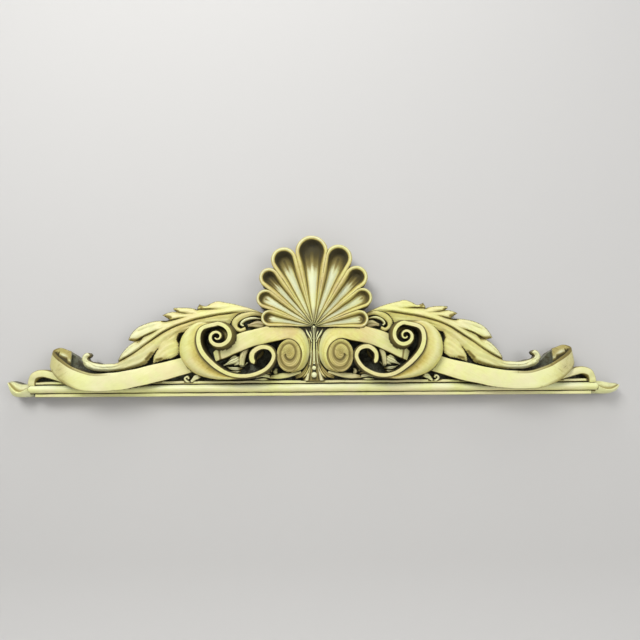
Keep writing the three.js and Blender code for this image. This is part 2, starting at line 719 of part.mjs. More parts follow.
// Small leaves and curls of the right half
function foliage() {
  const high = FOLIAGE_DEPTH + 8;
  const low = FOLIAGE_DEPTH - 4;
  return [
    // curled leaf beside the shell
    {
      points: [[12.2, 16.7], [14.6, 17.2], [17.0, 16.7], [18.4, 15.2], [18.0, 13.9], [16.9, 14.2]],
      width: 1.6, depth: high, steps: 8, end: 0.5,
    },
    { points: [[12.4, 14.6], [13.8, 15.1], [15.6, 15.2], [16.6, 15.6]], width: 2.0, depth: FOLIAGE_DEPTH },
    // second hook inside the C-scroll, and the leaflets beyond it
    {
      points: [[14.6, 9.2], [16.3, 8.2], [17.1, 6.8], [16.9, 5.4], [16.2, 4.8]],
      width: 1.1, depth: high, end: 0.5,
    },
    { points: [[17.2, 5.0], [18.6, 5.9], [20.8, 6.4]], width: 1.5, depth: FOLIAGE_DEPTH },
    { points: [[17.2, 4.6], [19.0, 4.9], [21.4, 5.3]], width: 1.3, depth: low },
    { points: [[16.8, 4.2], [18.6, 3.9], [20.6, 4.3]], width: 1.2, depth: FOLIAGE_DEPTH },
    // band that cradles the centre volute, and the leaves between it and the hook
    {
      points: [[2.6, 1.9], [5.0, 2.2], [7.6, 2.4], [9.2, 3.4], [10.0, 5.4]],
      width: 1.5, depth: high - 2, start: 0.6,
    },
    { points: [[8.0, 1.7], [9.8, 2.4], [10.6, 3.6]], width: 1.2, depth: FOLIAGE_DEPTH },
    { points: [[9.2, 1.5], [11.0, 2.0], [12.6, 2.2]], width: 1.1, depth: FOLIAGE_DEPTH },
    // sprig under the broad ribbon
    { points: [[24.6, 1.7], [26.4, 2.6], [28.0, 1.8]], width: 1.1, depth: low },
    {
      points: [[28.0, 1.4], [28.2, 2.4], [29.0, 2.7], [29.5, 2.1], [29.0, 1.6]],
      width: 0.6, depth: low, end: 0.8,
    },
    // calyx leaf at the head of the stem
    { points: [[0.35, 10.9], [0.75, 11.8], [1.9, 13.1]], width: 0.9, depth: STEM_DEPTH + 3 },
  ].map(frond);
}

// The room behind the flat back, cut away from round forms that reach past it
function behind() {
  const room = new THREE.BoxGeometry(LENGTH * 1.1, 2 * TORUS_DEPTH, LENGTH);
  room.translate(0, TORUS_DEPTH, 0);
  return room;
}

// How far the tip of each end flourish stands above the drawing
const TIP_RISE = { left: 8, right: -5 };

function headpiece() {
  let body = solid(fillets()).add(solid(torus()));
  const join = (geometry) => {
    body = body.add(solid(geometry));
  };
  const pieces = [
    ground(), torusNose(), innerRibbon(), centreVolute(), outerRibbon(), ribbonCurl(), curlBed(), hump(),
    scroll(), ...foliage(),
  ];
  for (const side of [-1, 1]) {
    join(handed(cup(side < 0 ? TIP_RISE.left : TIP_RISE.right), side));
    const leaf = solid(handed(leafFace(), side)).intersect(solid(handed(leafBlock(), side)));
    body = body.add(leaf.subtract(solid(handed(undercut(), side))));
    for (const piece of pieces) join(handed(piece, side));
    body = body.subtract(solid(handed(voluteGroove(), side)));
  }
  for (const each of LOBES) join(lobe(each));
  join(stem());
  for (const bead of beads()) join(bead);
  body = body.subtract(solid(behind()));
  const { vertProperties, triVerts } = body.getMesh();
  const geometry = new THREE.BufferGeometry();
  geometry.setAttribute("position", new THREE.BufferAttribute(vertProperties, 3));
  geometry.setIndex(new THREE.BufferAttribute(triVerts, 1));
  return geometry;
}

const finish = new THREE.MeshStandardMaterial({ color: 0xcdb676, roughness: 0.55, metalness: 0.05 });
const carving = new THREE.Mesh(headpiece(), finish);
carving.name = "carved_headpiece";

const group = new THREE.Group();
group.add(carving);
export default group;
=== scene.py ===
import json
import math

import bmesh
import bpy
import numpy as np
from mathutils import Matrix, Vector

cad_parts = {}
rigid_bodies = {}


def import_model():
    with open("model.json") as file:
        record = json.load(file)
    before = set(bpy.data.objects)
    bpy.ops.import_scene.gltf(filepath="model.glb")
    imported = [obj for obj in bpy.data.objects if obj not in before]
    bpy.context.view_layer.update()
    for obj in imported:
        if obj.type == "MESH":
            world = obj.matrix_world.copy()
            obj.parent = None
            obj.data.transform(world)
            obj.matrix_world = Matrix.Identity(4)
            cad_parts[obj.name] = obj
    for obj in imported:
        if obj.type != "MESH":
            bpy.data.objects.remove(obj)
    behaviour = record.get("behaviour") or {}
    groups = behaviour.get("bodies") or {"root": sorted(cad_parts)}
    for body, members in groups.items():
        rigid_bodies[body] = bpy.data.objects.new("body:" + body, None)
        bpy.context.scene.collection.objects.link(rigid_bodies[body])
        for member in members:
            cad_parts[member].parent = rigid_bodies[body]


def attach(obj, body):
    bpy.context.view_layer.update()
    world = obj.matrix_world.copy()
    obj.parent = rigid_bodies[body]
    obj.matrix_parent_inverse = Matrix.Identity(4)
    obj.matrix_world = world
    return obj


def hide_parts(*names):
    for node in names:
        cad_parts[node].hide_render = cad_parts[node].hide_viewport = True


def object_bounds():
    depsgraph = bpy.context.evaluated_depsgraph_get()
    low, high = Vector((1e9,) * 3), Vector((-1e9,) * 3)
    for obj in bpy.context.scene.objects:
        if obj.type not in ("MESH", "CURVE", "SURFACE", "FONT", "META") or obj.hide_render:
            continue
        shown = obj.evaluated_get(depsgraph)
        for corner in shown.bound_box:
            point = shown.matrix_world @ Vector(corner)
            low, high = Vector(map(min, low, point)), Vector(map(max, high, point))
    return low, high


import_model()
cad_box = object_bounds()


# Moulded rail
# The straight foot of the carving: two fillets with a round moulding between them, planed by hand out of the
# same boards as the ornament, so its edges run a little uneven.
RAIL_HALF = 64.9
RAIL_BOTTOM = -2.2
RAIL_POINTS = 110
LOWER_FILLET = 0.8
UPPER_FILLET = 0.65
RAIL_GROOVE = 0.22
FILLET_DEPTH = 3.6
FILLET_ARRIS = 0.12
GROOVE_DEPTH = 3.0
TORUS_HEIGHT = 1.8
TORUS_SPRING = 3.4
TORUS_DEPTH = 4.5
TORUS_END = RAIL_HALF + 0.9
TORUS_NOSE = 0.8
lower_top = RAIL_BOTTOM + LOWER_FILLET
torus_middle = lower_top + RAIL_GROOVE / 2 + TORUS_HEIGHT / 2
torus_top = torus_middle + TORUS_HEIGHT / 2
upper_foot = torus_top + RAIL_GROOVE
rail_top = upper_foot + UPPER_FILLET
# every form is a closed body in centimetres as [x, z, depth], with depth counted from the flat back; it is
# made once for each hand or once on the middle, and all are joined into one at the end
CM = 0.01
BOTH_HANDS, MIDDLE = (-1, 1), (0,)
# the two halves are cut by eye, and a form this far from the middle has drifted so far to the right
DRIFT_AT = [0, 7, 12, 17, 21.5, 30, 34.5, 45.5, 53, 60, 66, 72]
DRIFT_BY = [0.25, 0.5, 0.55, 0, -0.35, -0.35, -0.7, -0.6, -0.45, -0.2, -0.3, 0]
carving = bpy.data.collections.new("carved_forms")


def mix(a, b, share):
    return a + (b - a) * share


def smooth(value, start, end):
    share = np.clip((np.asarray(value, float) - start) / (end - start), 0, 1)
    return share * share * (3 - 2 * share)


def curve(points, count):
    """Points along a smooth line through the given ones, and the way the line runs at each."""
    given = np.array(points, float)
    padded = np.vstack([2 * given[0] - given[1], given, 2 * given[-1] - given[-2]])
    place = np.linspace(0, len(given) - 1, count)
    i = np.minimum(place.astype(int), len(given) - 2)
    t = (place - i)[:, None]
    a, b, c, d = (padded[i + k] for k in range(4))
    second, third = 2 * a - 5 * b + 4 * c - d, 3 * b - a - 3 * c + d
    at = 0.5 * (2 * b + (c - a) * t + second * t**2 + third * t**3)
    way = (c - a) + 2 * second * t + 3 * third * t**2
    return at, way / np.linalg.norm(way, axis=1, keepdims=True)


def paint(shape, grime_and_shade=0.0, gold=0.0, chalk_and_highlight=0.0, rose=0.0):
    """How much of each coat shows: dirt and painted shade in the hollows, ochre wash, pale paint and painted
    highlight, and worn red ground.
    """
    coats = (grime_and_shade, gold, chalk_and_highlight, rose)
    return np.stack([np.broadcast_to(np.asarray(coat, float), shape) for coat in coats], -1)


def add_form(name, corners, faces, coats, sides=BOTH_HANDS):
    """One closed body for each side; the drift is left out of a form on the middle."""
    for side in sides:
        x, z, depth = np.asarray(corners, float).T
        across = side * x + np.interp(np.abs(x), DRIFT_AT, DRIFT_BY) if side else x
        mesh = bpy.data.meshes.new(f"{name}{side}")
        mesh.from_pydata((np.column_stack([across, -depth, z]) * CM).tolist(), [], faces)
        colour = mesh.attributes.new("coats", "FLOAT_COLOR", "POINT")
        colour.data.foreach_set("color", np.asarray(coats, np.float32).ravel())
        body = bmesh.new()
        body.from_mesh(mesh)
        bmesh.ops.remove_doubles(body, verts=body.verts, dist=1e-6)
        if body.calc_volume(signed=True) < 0:
            bmesh.ops.reverse_faces(body, faces=body.faces)
        body.to_mesh(mesh)
        body.free()
        carving.objects.link(bpy.data.objects.new(f"{name}{side}", mesh))


def loft(name, rings, coats, sides=BOTH_HANDS):
    """A body through closed rings of points, with a face over each end."""
    rings = np.asarray(rings, float)
    count, around = rings.shape[:2]
    faces = []
    for i in range(count - 1):
        for j in range(around):
            a, b = i * around + j, i * around + (j + 1) % around
            faces.append((a, b, b + around, a + around))
    faces.append(tuple(range(around))[::-1])
    faces.append(tuple(range((count - 1) * around, count * around)))
    add_form(name, rings.reshape(-1, 3), faces, np.asarray(coats).reshape(-1, 4), sides)


def relief(name, rows, coats, sides=BOTH_HANDS):
    """A carved face given as rows of points across it, whose sides drop to the back and darken with painted
    shade on the way.
    """
    rows, coats = np.asarray(rows, float), np.asarray(coats, float)
    walls = []
    for edge, tone in ((rows[:, 0], coats[:, 0]), (rows[:, -1], coats[:, -1])):
        # the walls darken towards the back with painted shade
        shares, dirt_and_shade = (0.82, 0.5, 0), (0.35, 0.85, 1)
        points = [edge * [1, 1, share] for share in shares]
        tones = [np.maximum(tone, paint(tone.shape[:-1], grime_and_shade=much)) for much in dirt_and_shade]
        walls.append((points, tones))
    (p0, t0), (p1, t1) = walls
    rings = np.stack([*p0[::-1], *rows.transpose(1, 0, 2), *p1], axis=1)
    tones = np.stack([*t0[::-1], *coats.transpose(1, 0, 2), *t1], axis=1)
    loft(name, rings, tones, sides)


def section(flat=5, turns=4):
    """Across a band: the place between the arrises, how far round the arris, and how far that drops."""
    turn = np.linspace(0, math.pi / 2, turns)
    share = np.concatenate([-np.ones(turns), np.linspace(-1, 1, flat)[1:-1], np.ones(turns)])
    out = np.concatenate([-np.sin(turn[::-1]), np.zeros(flat - 2), np.sin(turn)])
    drop = np.concatenate([1 - np.cos(turn[::-1]), np.zeros(flat - 2), 1 - np.cos(turn)])
    return share, out, drop


# the dirt of each point below includes painted shade, darkest at the back and in the groove
fillets = [  # depth, height and dirt
    (0, RAIL_BOTTOM, 1), (FILLET_DEPTH - FILLET_ARRIS, RAIL_BOTTOM, 0.4),
    (FILLET_DEPTH, RAIL_BOTTOM + FILLET_ARRIS, 0.1), (FILLET_DEPTH, lower_top - FILLET_ARRIS, 0.1),
    (FILLET_DEPTH - FILLET_ARRIS, lower_top, 0.5), (GROOVE_DEPTH, lower_top + 0.05, 1),
    (GROOVE_DEPTH, torus_top + 0.05, 1), (FILLET_DEPTH, upper_foot, 0.5),
    (FILLET_DEPTH + FILLET_ARRIS, upper_foot + FILLET_ARRIS, 0.1),
    (FILLET_DEPTH + FILLET_ARRIS, rail_top - 0.16, 0.15), (FILLET_DEPTH, rail_top - 0.03, 0.3),
    (FILLET_DEPTH - 0.25, rail_top, 0.55), (0, rail_top, 1),
]
rings, tones = [], []
for x in np.linspace(-RAIL_HALF, RAIL_HALF, RAIL_POINTS):
    lift = 0.025 * math.sin(x * 0.31) + 0.018 * math.sin(x * 0.83 + 1)
    push = 0.03 * math.sin(x * 0.23 + 2)
    rings.append([
        (x, z + lift * (depth > 0) * (z > RAIL_BOTTOM + 0.2), depth + push * (0 < depth < FILLET_DEPTH + 0.1))
        for depth, z, _ in fillets
    ])
    uneven = 0.75 + 0.25 * math.sin(x * 0.37)
    tones.append([paint((), dirt_and_shade * uneven, 0.15, 0.5, 0.2) for _, _, dirt_and_shade in fillets])
loft("fillets", rings, tones, MIDDLE)

# the round moulding runs past the fillets and ends in a rounded nose on each hand
turn = np.linspace(-math.pi / 2, math.pi / 2, 15)
nose = np.linspace(0, math.pi / 2, 7)[1:]
ends = [(TORUS_END + TORUS_NOSE * math.sin(a), max(math.cos(a), 0.02)) for a in nose]
stations = [(-x, size) for x, size in ends[::-1]] + [(x, 1) for x in np.linspace(-TORUS_END, TORUS_END, 90)]
rings = []
for x, size in stations + ends:
    wave = 0.02 * math.sin(x * 0.27)
    half = TORUS_HEIGHT / 2 * size
    depth = (TORUS_SPRING + (TORUS_DEPTH - TORUS_SPRING) * np.cos(turn)) * mix(0.75, 1, size) + wave
    ring = [(x, torus_middle + half * math.sin(a), d) for a, d in zip(turn, depth)]
    rings.append([(x, torus_middle - half, 0), *ring, (x, torus_middle + half, 0)])
# painted shade darkens the round's upper and lower edges and its back, an ochre painted shade its lower half,
# and a painted highlight lights its upper half
shade = np.clip(np.abs(turn) * 2 - 2.3, 0, 0.8)
wash, light = mix(0.25, 0, smooth(turn, -1, 0.6)), 0.45 + 0.4 * smooth(turn, -0.4, 0.8)
tone = np.vstack([paint((), grime_and_shade=1), paint(turn.shape, shade * 0.8, wash, light), paint((), grime_and_shade=1)])
loft("torus", rings, [tone] * len(rings), MIDDLE)


# Sunk ground
# The board left standing behind the ornament, cut down with a gouge and painted dark all over: old dirt and
# stain, and painted shade behind the ornament.
GROUND = 2.0
ground = np.array([
    (0, -2.1), (66, -1.6), (66, 0.5), (63, 3.0), (59, 3.4), (59, 7), (56, 6.4), (53.5, 4.6), (48, 4.6),
    (44.2, 6.3), (42, 8.6), (40, 11.2), (39.5, 13.6), (34, 15.2), (31.6, 17.3), (26, 17.7), (22, 19.0),
    (15, 17.4), (11, 17.5), (10, 22), (6, 28), (0, 31),
])


def slab(name, outline, levels):
    """A body cut straight down from an outline; each level gives a depth and the coats there."""
    count = len(outline)
    corners = [(x, z, depth) for depth, *_ in levels for x, z in outline]
    faces = [tuple(range(count)), tuple(range(len(corners) - 1, len(corners) - 1 - count, -1))]
    for level in range(len(levels) - 1):
        a, b = level * count, (level + 1) * count
        faces += [(a + i, b + i, b + (i + 1) % count, a + (i + 1) % count) for i in range(count)]
    add_form(name, corners, faces, np.repeat([paint((), *coats) for _, *coats in levels], count, axis=0))


# the ground is painted dark at every depth: dirt, stain and painted shade
slab("ground", ground, ((0, 1), (GROUND, 1)))


# C-scrolls
# The pair of big scrolls: a narrow proud rim, a cut line beside it, then a wide outer face that falls away as
# a cove and a roll. The rim winds into a volute at the top and turns under in a hook at the bottom.
SCROLL_DEPTH = 7.6
FLANK_EDGE_DEPTH = 4.4
RIM_HALF = 0.52
RIM_ARRIS = 0.13
# across the rim: darker towards both arrises, dirt and painted shade
RIM_DIRT_AND_SHADE = [0.7, 0.4, 0.15, 0.03, 0, 0, 0.03, 0.1, 0.3, 0.6]
NECK_HALF = 0.42
HOOK_HALF = 0.5
VOLUTE_CENTRE = np.array([21.6, 11.45])
VOLUTE_RADII = [2.95, 2.75, 1.9, 1.45, 1.0, 0.8, 0.58, 0.38]  # at each quarter turn
VOLUTE_HALF = [0.44, 0.46, 0.46, 0.36, 0.28, 0.22, 0.18, 0.16]
VOLUTE_SWEEP = 600
VOLUTE_STEPS, BODY_STEPS, FLOOR_POINTS = 110, 180, 36
rim_share, rim_out, rim_drop = section(4, 4)
# across the outer face where it is wide
FACE = np.array([
    # place, fall, grime and painted shade, gold, chalk and painted highlight
    (0.03, 0.42, 0.95, 0.3, 0), (0.07, 0.36, 0.5, 0.8, 0), (0.16, 0.55, 0.12, 0.95, 0),
    (0.27, 0.68, 0.05, 0.85, 0), (0.38, 0.66, 0, 0.6, 0.1), (0.5, 0.62, 0, 0.35, 0.25),
    (0.62, 0.7, 0, 0.25, 0.35), (0.75, 1.0, 0, 0.25, 0.25), (0.87, 1.6, 0.05, 0.35, 0.1),
    (0.95, 2.3, 0.2, 0.4, 0), (1, 3.2, 0.45, 0.3, 0),
])


def bell(value, centre, width):
    """One at the centre, falling away on both sides of it."""
    return np.exp(-(((value - centre) / width) ** 2))


def oval(x, z, across, up, depth, angle):
    """A closed ring of points round a middle, one at each angle."""
    depth = np.broadcast_to(depth, angle.shape)
    return np.column_stack([x + across * np.cos(angle), z + up * np.sin(angle), depth])


def scroll_row(at, out, half, edge, fall):
    """One row across the rim and the outer face; fall is how far the face's edge lies below the rim."""
    offset = rim_share * (half - RIM_ARRIS) + rim_out * RIM_ARRIS
    rim = np.column_stack([at + out * offset[:, None], SCROLL_DEPTH - rim_drop * RIM_ARRIS])
    outer = at + out * half
    wide = smooth(np.linalg.norm(edge - outer), 0.5, 2.2)
    place, full, grime_and_shade, gold, chalk_and_highlight = FACE.T
    drop = mix(RIM_ARRIS + (fall - RIM_ARRIS) * place**1.3, full * fall / full[-1], wide)
    depth = SCROLL_DEPTH - np.maximum(drop, RIM_ARRIS)
    face = np.column_stack([outer + (edge - outer) * place[:, None], depth])
    # the face darkens in the cut beside the rim and towards its outer edge: dirt and painted shade
    face_coats = paint(place.shape, mix(0.5 + 0.3 * place, grime_and_shade, wide), mix(0.6, gold, wide), chalk_and_highlight * wide)
    return np.vstack([rim, face]), np.vstack([paint(rim_share.shape, RIM_DIRT_AND_SHADE, 0.25, 0.3), face_coats])


rows, tones = [], []
# the volute's radius is read off at each degree
spiral, _ = curve([(quarter * 90, radius) for quarter, radius in enumerate(VOLUTE_RADII)], 7 * 90 + 1)
for i in range(VOLUTE_STEPS):
    swept = VOLUTE_SWEEP * (1 - i / VOLUTE_STEPS)
    angle = math.radians(90 + swept)
    out = np.array([math.cos(angle), math.sin(angle)])
    at = VOLUTE_CENTRE + out * np.interp(swept, spiral[:, 0], spiral[:, 1])
    half = np.interp(swept / 90, range(len(VOLUTE_HALF)), VOLUTE_HALF)
    flank = np.interp(swept, [0, 60, 200, 330], [0.25, 0.6, 0.6, 0.14])
    row, tone = scroll_row(at, out, half, at + out * (half + flank), mix(1.2, 2.2, smooth(swept, 0, 60)))
    rows.append(row)
    tones.append(tone)
body_line = [
    (21.4, 14.4), (24.9, 13.4), (25.8, 10.9), (24.8, 7.8), (21.8, 4.7), (18.6, 2.85), (14.9, 2.5),
    (11.2, 4.0), (9.45, 6.6), (10.2, 8.5), (12.2, 8.95), (13.85, 7.9), (14.2, 6.5), (13.7, 5.2),
]
brink_line = [(21.5, 15.1), (27.2, 14.7), (30.4, 11.6), (30.6, 7.0), (27.4, 3.2), (22.0, 1.7), (15.4, 1.6)]
body, body_way = curve(body_line, BODY_STEPS)
body_spans, brink_spans = len(body_line) - 1, len(brink_line) - 1
brink, _ = curve(brink_line, 1 + (BODY_STEPS - 1) * brink_spans // body_spans)
for i, (at, way) in enumerate(zip(body, body_way)):
    t = i / (BODY_STEPS - 1)
    knot = t * body_spans
    out = np.array([-way[1], way[0]])
    half = mix(mix(VOLUTE_HALF[0], RIM_HALF, smooth(t, 0, 0.2)), NECK_HALF, smooth(t, 0.22, 0.4))
    half = mix(half, HOOK_HALF, smooth(t, 0.62, 0.9))
    half = float(half * math.sqrt(1 - smooth(t, 0.965, 1) * 0.97))
    edge = at + out * (half + 0.3)
    if knot < brink_spans:
        edge = mix(brink[min(i, len(brink) - 1)], edge, smooth(knot, brink_spans - 1, brink_spans))
    width = np.linalg.norm(edge - at) - half
    fall = float(mix(1.4, SCROLL_DEPTH - FLANK_EDGE_DEPTH, smooth(width, 0.3, 3.5)))
    row, tone = scroll_row(at, out, half, edge, fall)
    # lower down the body the face takes more ochre and a brown band near the rim: painted shade
    tone[:, 1] *= mix(0.7, 1.5, smooth(knot, 2, 4))
    tone[len(rim_share):, 0] += 0.16 * smooth(knot, 2.5, 4) * bell(FACE[:, 0], 0.22, 0.16)
    rows.append(row)
    tones.append(tone)
relief("scroll", rows, tones)

# the floor inside the upper volute rises to its eye and is darkened with dirt and painted shade, and the wash
# is rubbed through on two sides of it
angle = np.linspace(0, 2 * math.pi, FLOOR_POINTS, endpoint=False)
levels = ((2.7, 0), (2.7, 4.4), (2.2, 4.8), (1.6, 5.3), (0.9, 5.8), (0.3, 6.2))
rings = [oval(*VOLUTE_CENTRE, radius, radius, depth, angle) for radius, depth in levels]
rubbed = bell(angle, 2.9, 0.9) + 0.8 * bell(angle, 5.6, 0.6)
dirt_and_shade = np.clip(0.46 - 0.44 * rubbed, 0, 1)
tone = paint(angle.shape, dirt_and_shade, 0.9 - 0.3 * rubbed, 0.1 + 0.3 * rubbed, 0.3 * rubbed)
loft("volute_floor", rings, [tone] * len(rings))


# Ribbons that roll up beside the stem
# A flat band starts square inside each C-scroll, widens towards the middle and rolls into an oval volute
# whose outer turn stands off the stem. The red ground has worn through where hands have touched it.
INNER_RIBBON_DEPTH = 5.4
ROLL_DEPTH = 6.3
ROLL_EDGE_DEPTH = 4.0
ROLL_MIDDLE = np.array([5.9, 7.1])
ROLL_HALF = np.array([3.05, 3.85])
ROLL_EYE = np.array([6.0, 8.0])
ROLL_POINTS, INNER_STEPS = 72, 130
INNER_ARRIS = 0.14
top_line = [
    (22.9, 8.0), (20.3, 10.4), (17.6, 12.2), (14.2, 13.25), (10.5, 14.1), (7.4, 14.45), (4.6, 14.25),
    (2.3, 12.7), (1.15, 9.8), (1.25, 6.6), (2.7, 4.1), (5.2, 3.1),
]
low_line = [
    (22.2, 5.8), (20.0, 6.7), (17.6, 7.8), (14.2, 9.2), (11.4, 9.9), (8.6, 10.5), (5.9, 10.95),
    (3.9, 9.9), (2.9, 7.9), (3.05, 5.9), (4.1, 4.15), (5.7, 3.25),
]
top, _ = curve(top_line, INNER_STEPS)
low, _ = curve(low_line, INNER_STEPS)
share, out, drop = section(9, 4)
rows, tones = [], []
for i in range(INNER_STEPS):
    t = i / (INNER_STEPS - 1)
    half = max(np.linalg.norm(top[i] - low[i]) / 2, 0.05)
    arris = min(INNER_ARRIS, half * 0.8)
    place = ((share * (half - arris) + out * arris) / half + 1) / 2
    depth = mix(INNER_RIBBON_DEPTH, ROLL_DEPTH, smooth(t, 0.16, 0.5)) - 0.1
    rolled = mix(0.2, ROLL_DEPTH - ROLL_EDGE_DEPTH, smooth(t, 0.3, 0.58)) * mix(1, 0.6, smooth(t, 0.85, 1))
    depth = depth - rolled * np.clip(place, 0, 1) ** 1.7 - drop * arris
    depth = depth - 0.25 * (1 - smooth(t, 0, 0.03)) - 0.25 * smooth(t, 0.9, 1)
    rows.append(np.column_stack([low[i] + (top[i] - low[i]) * place[:, None], depth]))
    # the square end has a raised lip with a brown line beside it, and the middle is worn
    lip, warm = bell(t, 0.045, 0.01), bell(t, 0.5, 0.13)
    lines = smooth(t, 0.5, 0.65) * (bell(place, 0.375, 0.05) + 0.7 * bell(place, 0.625, 0.05))
    # the band darkens along its edges and towards the roll: dirt and painted shade
    dirt_and_shade = 0.45 * (1 - smooth(place, 0, 0.06)) + 0.3 * smooth(place, 0.95, 1) + 0.25 * smooth(t, 0.85, 1)
    dirt_and_shade = dirt_and_shade + 0.5 * lip + 0.16 * lines
    wash = np.clip(0.2 + 0.35 * warm + 0.5 * smooth(t, 0.75, 0.95) + 0.4 * lines, 0, 1)
    light = 0.3 * (1 - smooth(t, 0.2, 0.4)) + 0.65 * smooth(t, 0.55, 0.65) * smooth(place, 0.4, 0.8)
    tones.append(paint(place.shape, dirt_and_shade, wash, light, 0.85 * warm * (1 - 0.7 * place)))
relief("inner_ribbon", rows, tones)

angle = np.linspace(0, 2 * math.pi, ROLL_POINTS, endpoint=False)
# the winding line: degrees turned, and its share of the oval there
WINDING = [(90, 0.98), (180, 0.93), (270, 0.8), (360, 0.66), (450, 0.58), (540, 0.5), (630, 0.42), (700, 0.3)]
winding, _ = curve(WINDING, 200)


def roll_groove(reach):
    """How deep the winding line is cut at each angle, at this share of the oval."""
    cut = np.zeros_like(angle)
    for lap in range(3):
        turned = np.degrees(angle) + 360 * lap
        line = np.interp(turned, winding[:, 0], winding[:, 1], left=9, right=9)
        near = (reach - line) / 0.05
        cut = np.maximum(cut, np.where(near < 0, bell(near, 0, 1), bell(near, 0, 2.6)))
    return cut


rings, tones = [], []
# the roll's outer wall darkens towards the back: painted shade
for reach, depth, dirt_and_shade in ((1, 0, 1), (1, 3.6, 0.9), (1, 5.0, 0.55), (0.995, 5.75, 0.4), (0.98, 6.0, 0.3)):
    rings.append(oval(*ROLL_MIDDLE, *(ROLL_HALF * reach), depth, angle))
    tones.append(paint(angle.shape, dirt_and_shade, 0.5, 0.1, 0.3))
for reach in np.linspace(0.955, 0.04, 46):
    cut = roll_groove(reach)
    middle = mix(ROLL_EYE, ROLL_MIDDLE, reach**1.3)
    rings.append(oval(*middle, *(ROLL_HALF * reach), 6.1 + 0.14 * (1 - reach) - 0.2 * cut, angle))
    tongue = (1 - smooth(reach, 0.3, 0.42)) * smooth(-np.cos(angle), -0.2, 0.3)
    streak = 0.5 + 0.5 * math.sin(reach * 60)
    # the winding groove and the eye are darkened: dirt and painted shade
    dirt_and_shade = cut * mix(0.3, 0.5, 1 - smooth(reach, 0.3, 0.6)) + 0.14
    dirt_and_shade = dirt_and_shade + 0.13 * streak + 0.12 * bell(reach, 0, 0.3)
    wash = np.clip(0.7 + 0.2 * streak + tongue, 0, 1)
    tones.append(paint(angle.shape, np.clip(dirt_and_shade, 0, 0.8), wash, 0.12, 0.3 * (1 - tongue)))
loft("roll", rings, tones)


# Outer ribbons
# A broad band comes out from under each C-scroll, sweeps down over the rail and turns back on itself at the
# end in a loose curl. Its face is clean and pale, and the inside of the curl is brown with painted shade,
# lit along its slit by a painted highlight.
RIBBON_DEPTH = 6.8
RIBBON_THICKNESS = 0.75
OUTER_ARRIS = 0.16
OUTER_STEPS = 140
TURN_KNOT = 6  # the point of each edge from which the end turns back
CURL_BED = 2.0
upper_edge = [
    (27.5, 8.0, 0.46), (32.0, 6.35, 0.62), (36.6, 5.15, 0.82), (41.1, 4.0, 0.94), (45.6, 3.35, 0.97),
    (50.4, 3.3, 0.97), (54.8, 4.75, 0.94), (57.9, 6.55, 0.88), (60.2, 8.05, 0.74), (60.8, 8.9, 0.57),
    (59.5, 9.35, 0.43), (57.1, 8.5, 0.36),
]
lower_edge = [
    (26.3, 4.0, 0.46), (29.6, 2.9, 0.62), (34.1, 1.45, 0.82), (38.7, 0.35, 0.95), (43.1, -0.55, 0.98),
    (47.8, -0.85, 1), (52.2, -0.65, 1), (56.2, 0.7, 0.96), (59.3, 2.8, 0.85), (61.2, 4.9, 0.66),
    (60.9, 5.4, 0.48), (57.3, 4.0, 0.37),
]


def to_line(spots, line):
    """Signed distance of each spot from a line (positive to its left), and the share of the line passed."""
    line = np.asarray(line, float)
    length = np.linalg.norm(np.diff(line, axis=0), axis=1)
    passed = np.concatenate([[0], np.cumsum(length)])
    near, away, share_at = np.full(len(spots), 1e9), np.zeros(len(spots)), np.zeros(len(spots))
    for i, (a, b) in enumerate(zip(line[:-1], line[1:])):
        run = (b - a) / length[i]
        rel = spots - a
        t = np.clip(rel @ run, 0, length[i])
        gap = np.linalg.norm(rel - t[:, None] * run, axis=1)
        better = gap < near
        near = np.where(better, gap, near)
        away = np.where(better, gap * np.sign(run[0] * rel[:, 1] - run[1] * rel[:, 0]), away)
        share_at = np.where(better, (passed[i] + t) / passed[-1], share_at)
    return away, share_at


upper, upper_way = curve(np.array(upper_edge) * [1, 1, RIBBON_DEPTH], OUTER_STEPS)
lower, lower_way = curve(np.array(lower_edge) * [1, 1, RIBBON_DEPTH], OUTER_STEPS)
turn_start = (OUTER_STEPS - 1) * TURN_KNOT // (len(upper_edge) - 1)
share, out, drop = section(7, 4)
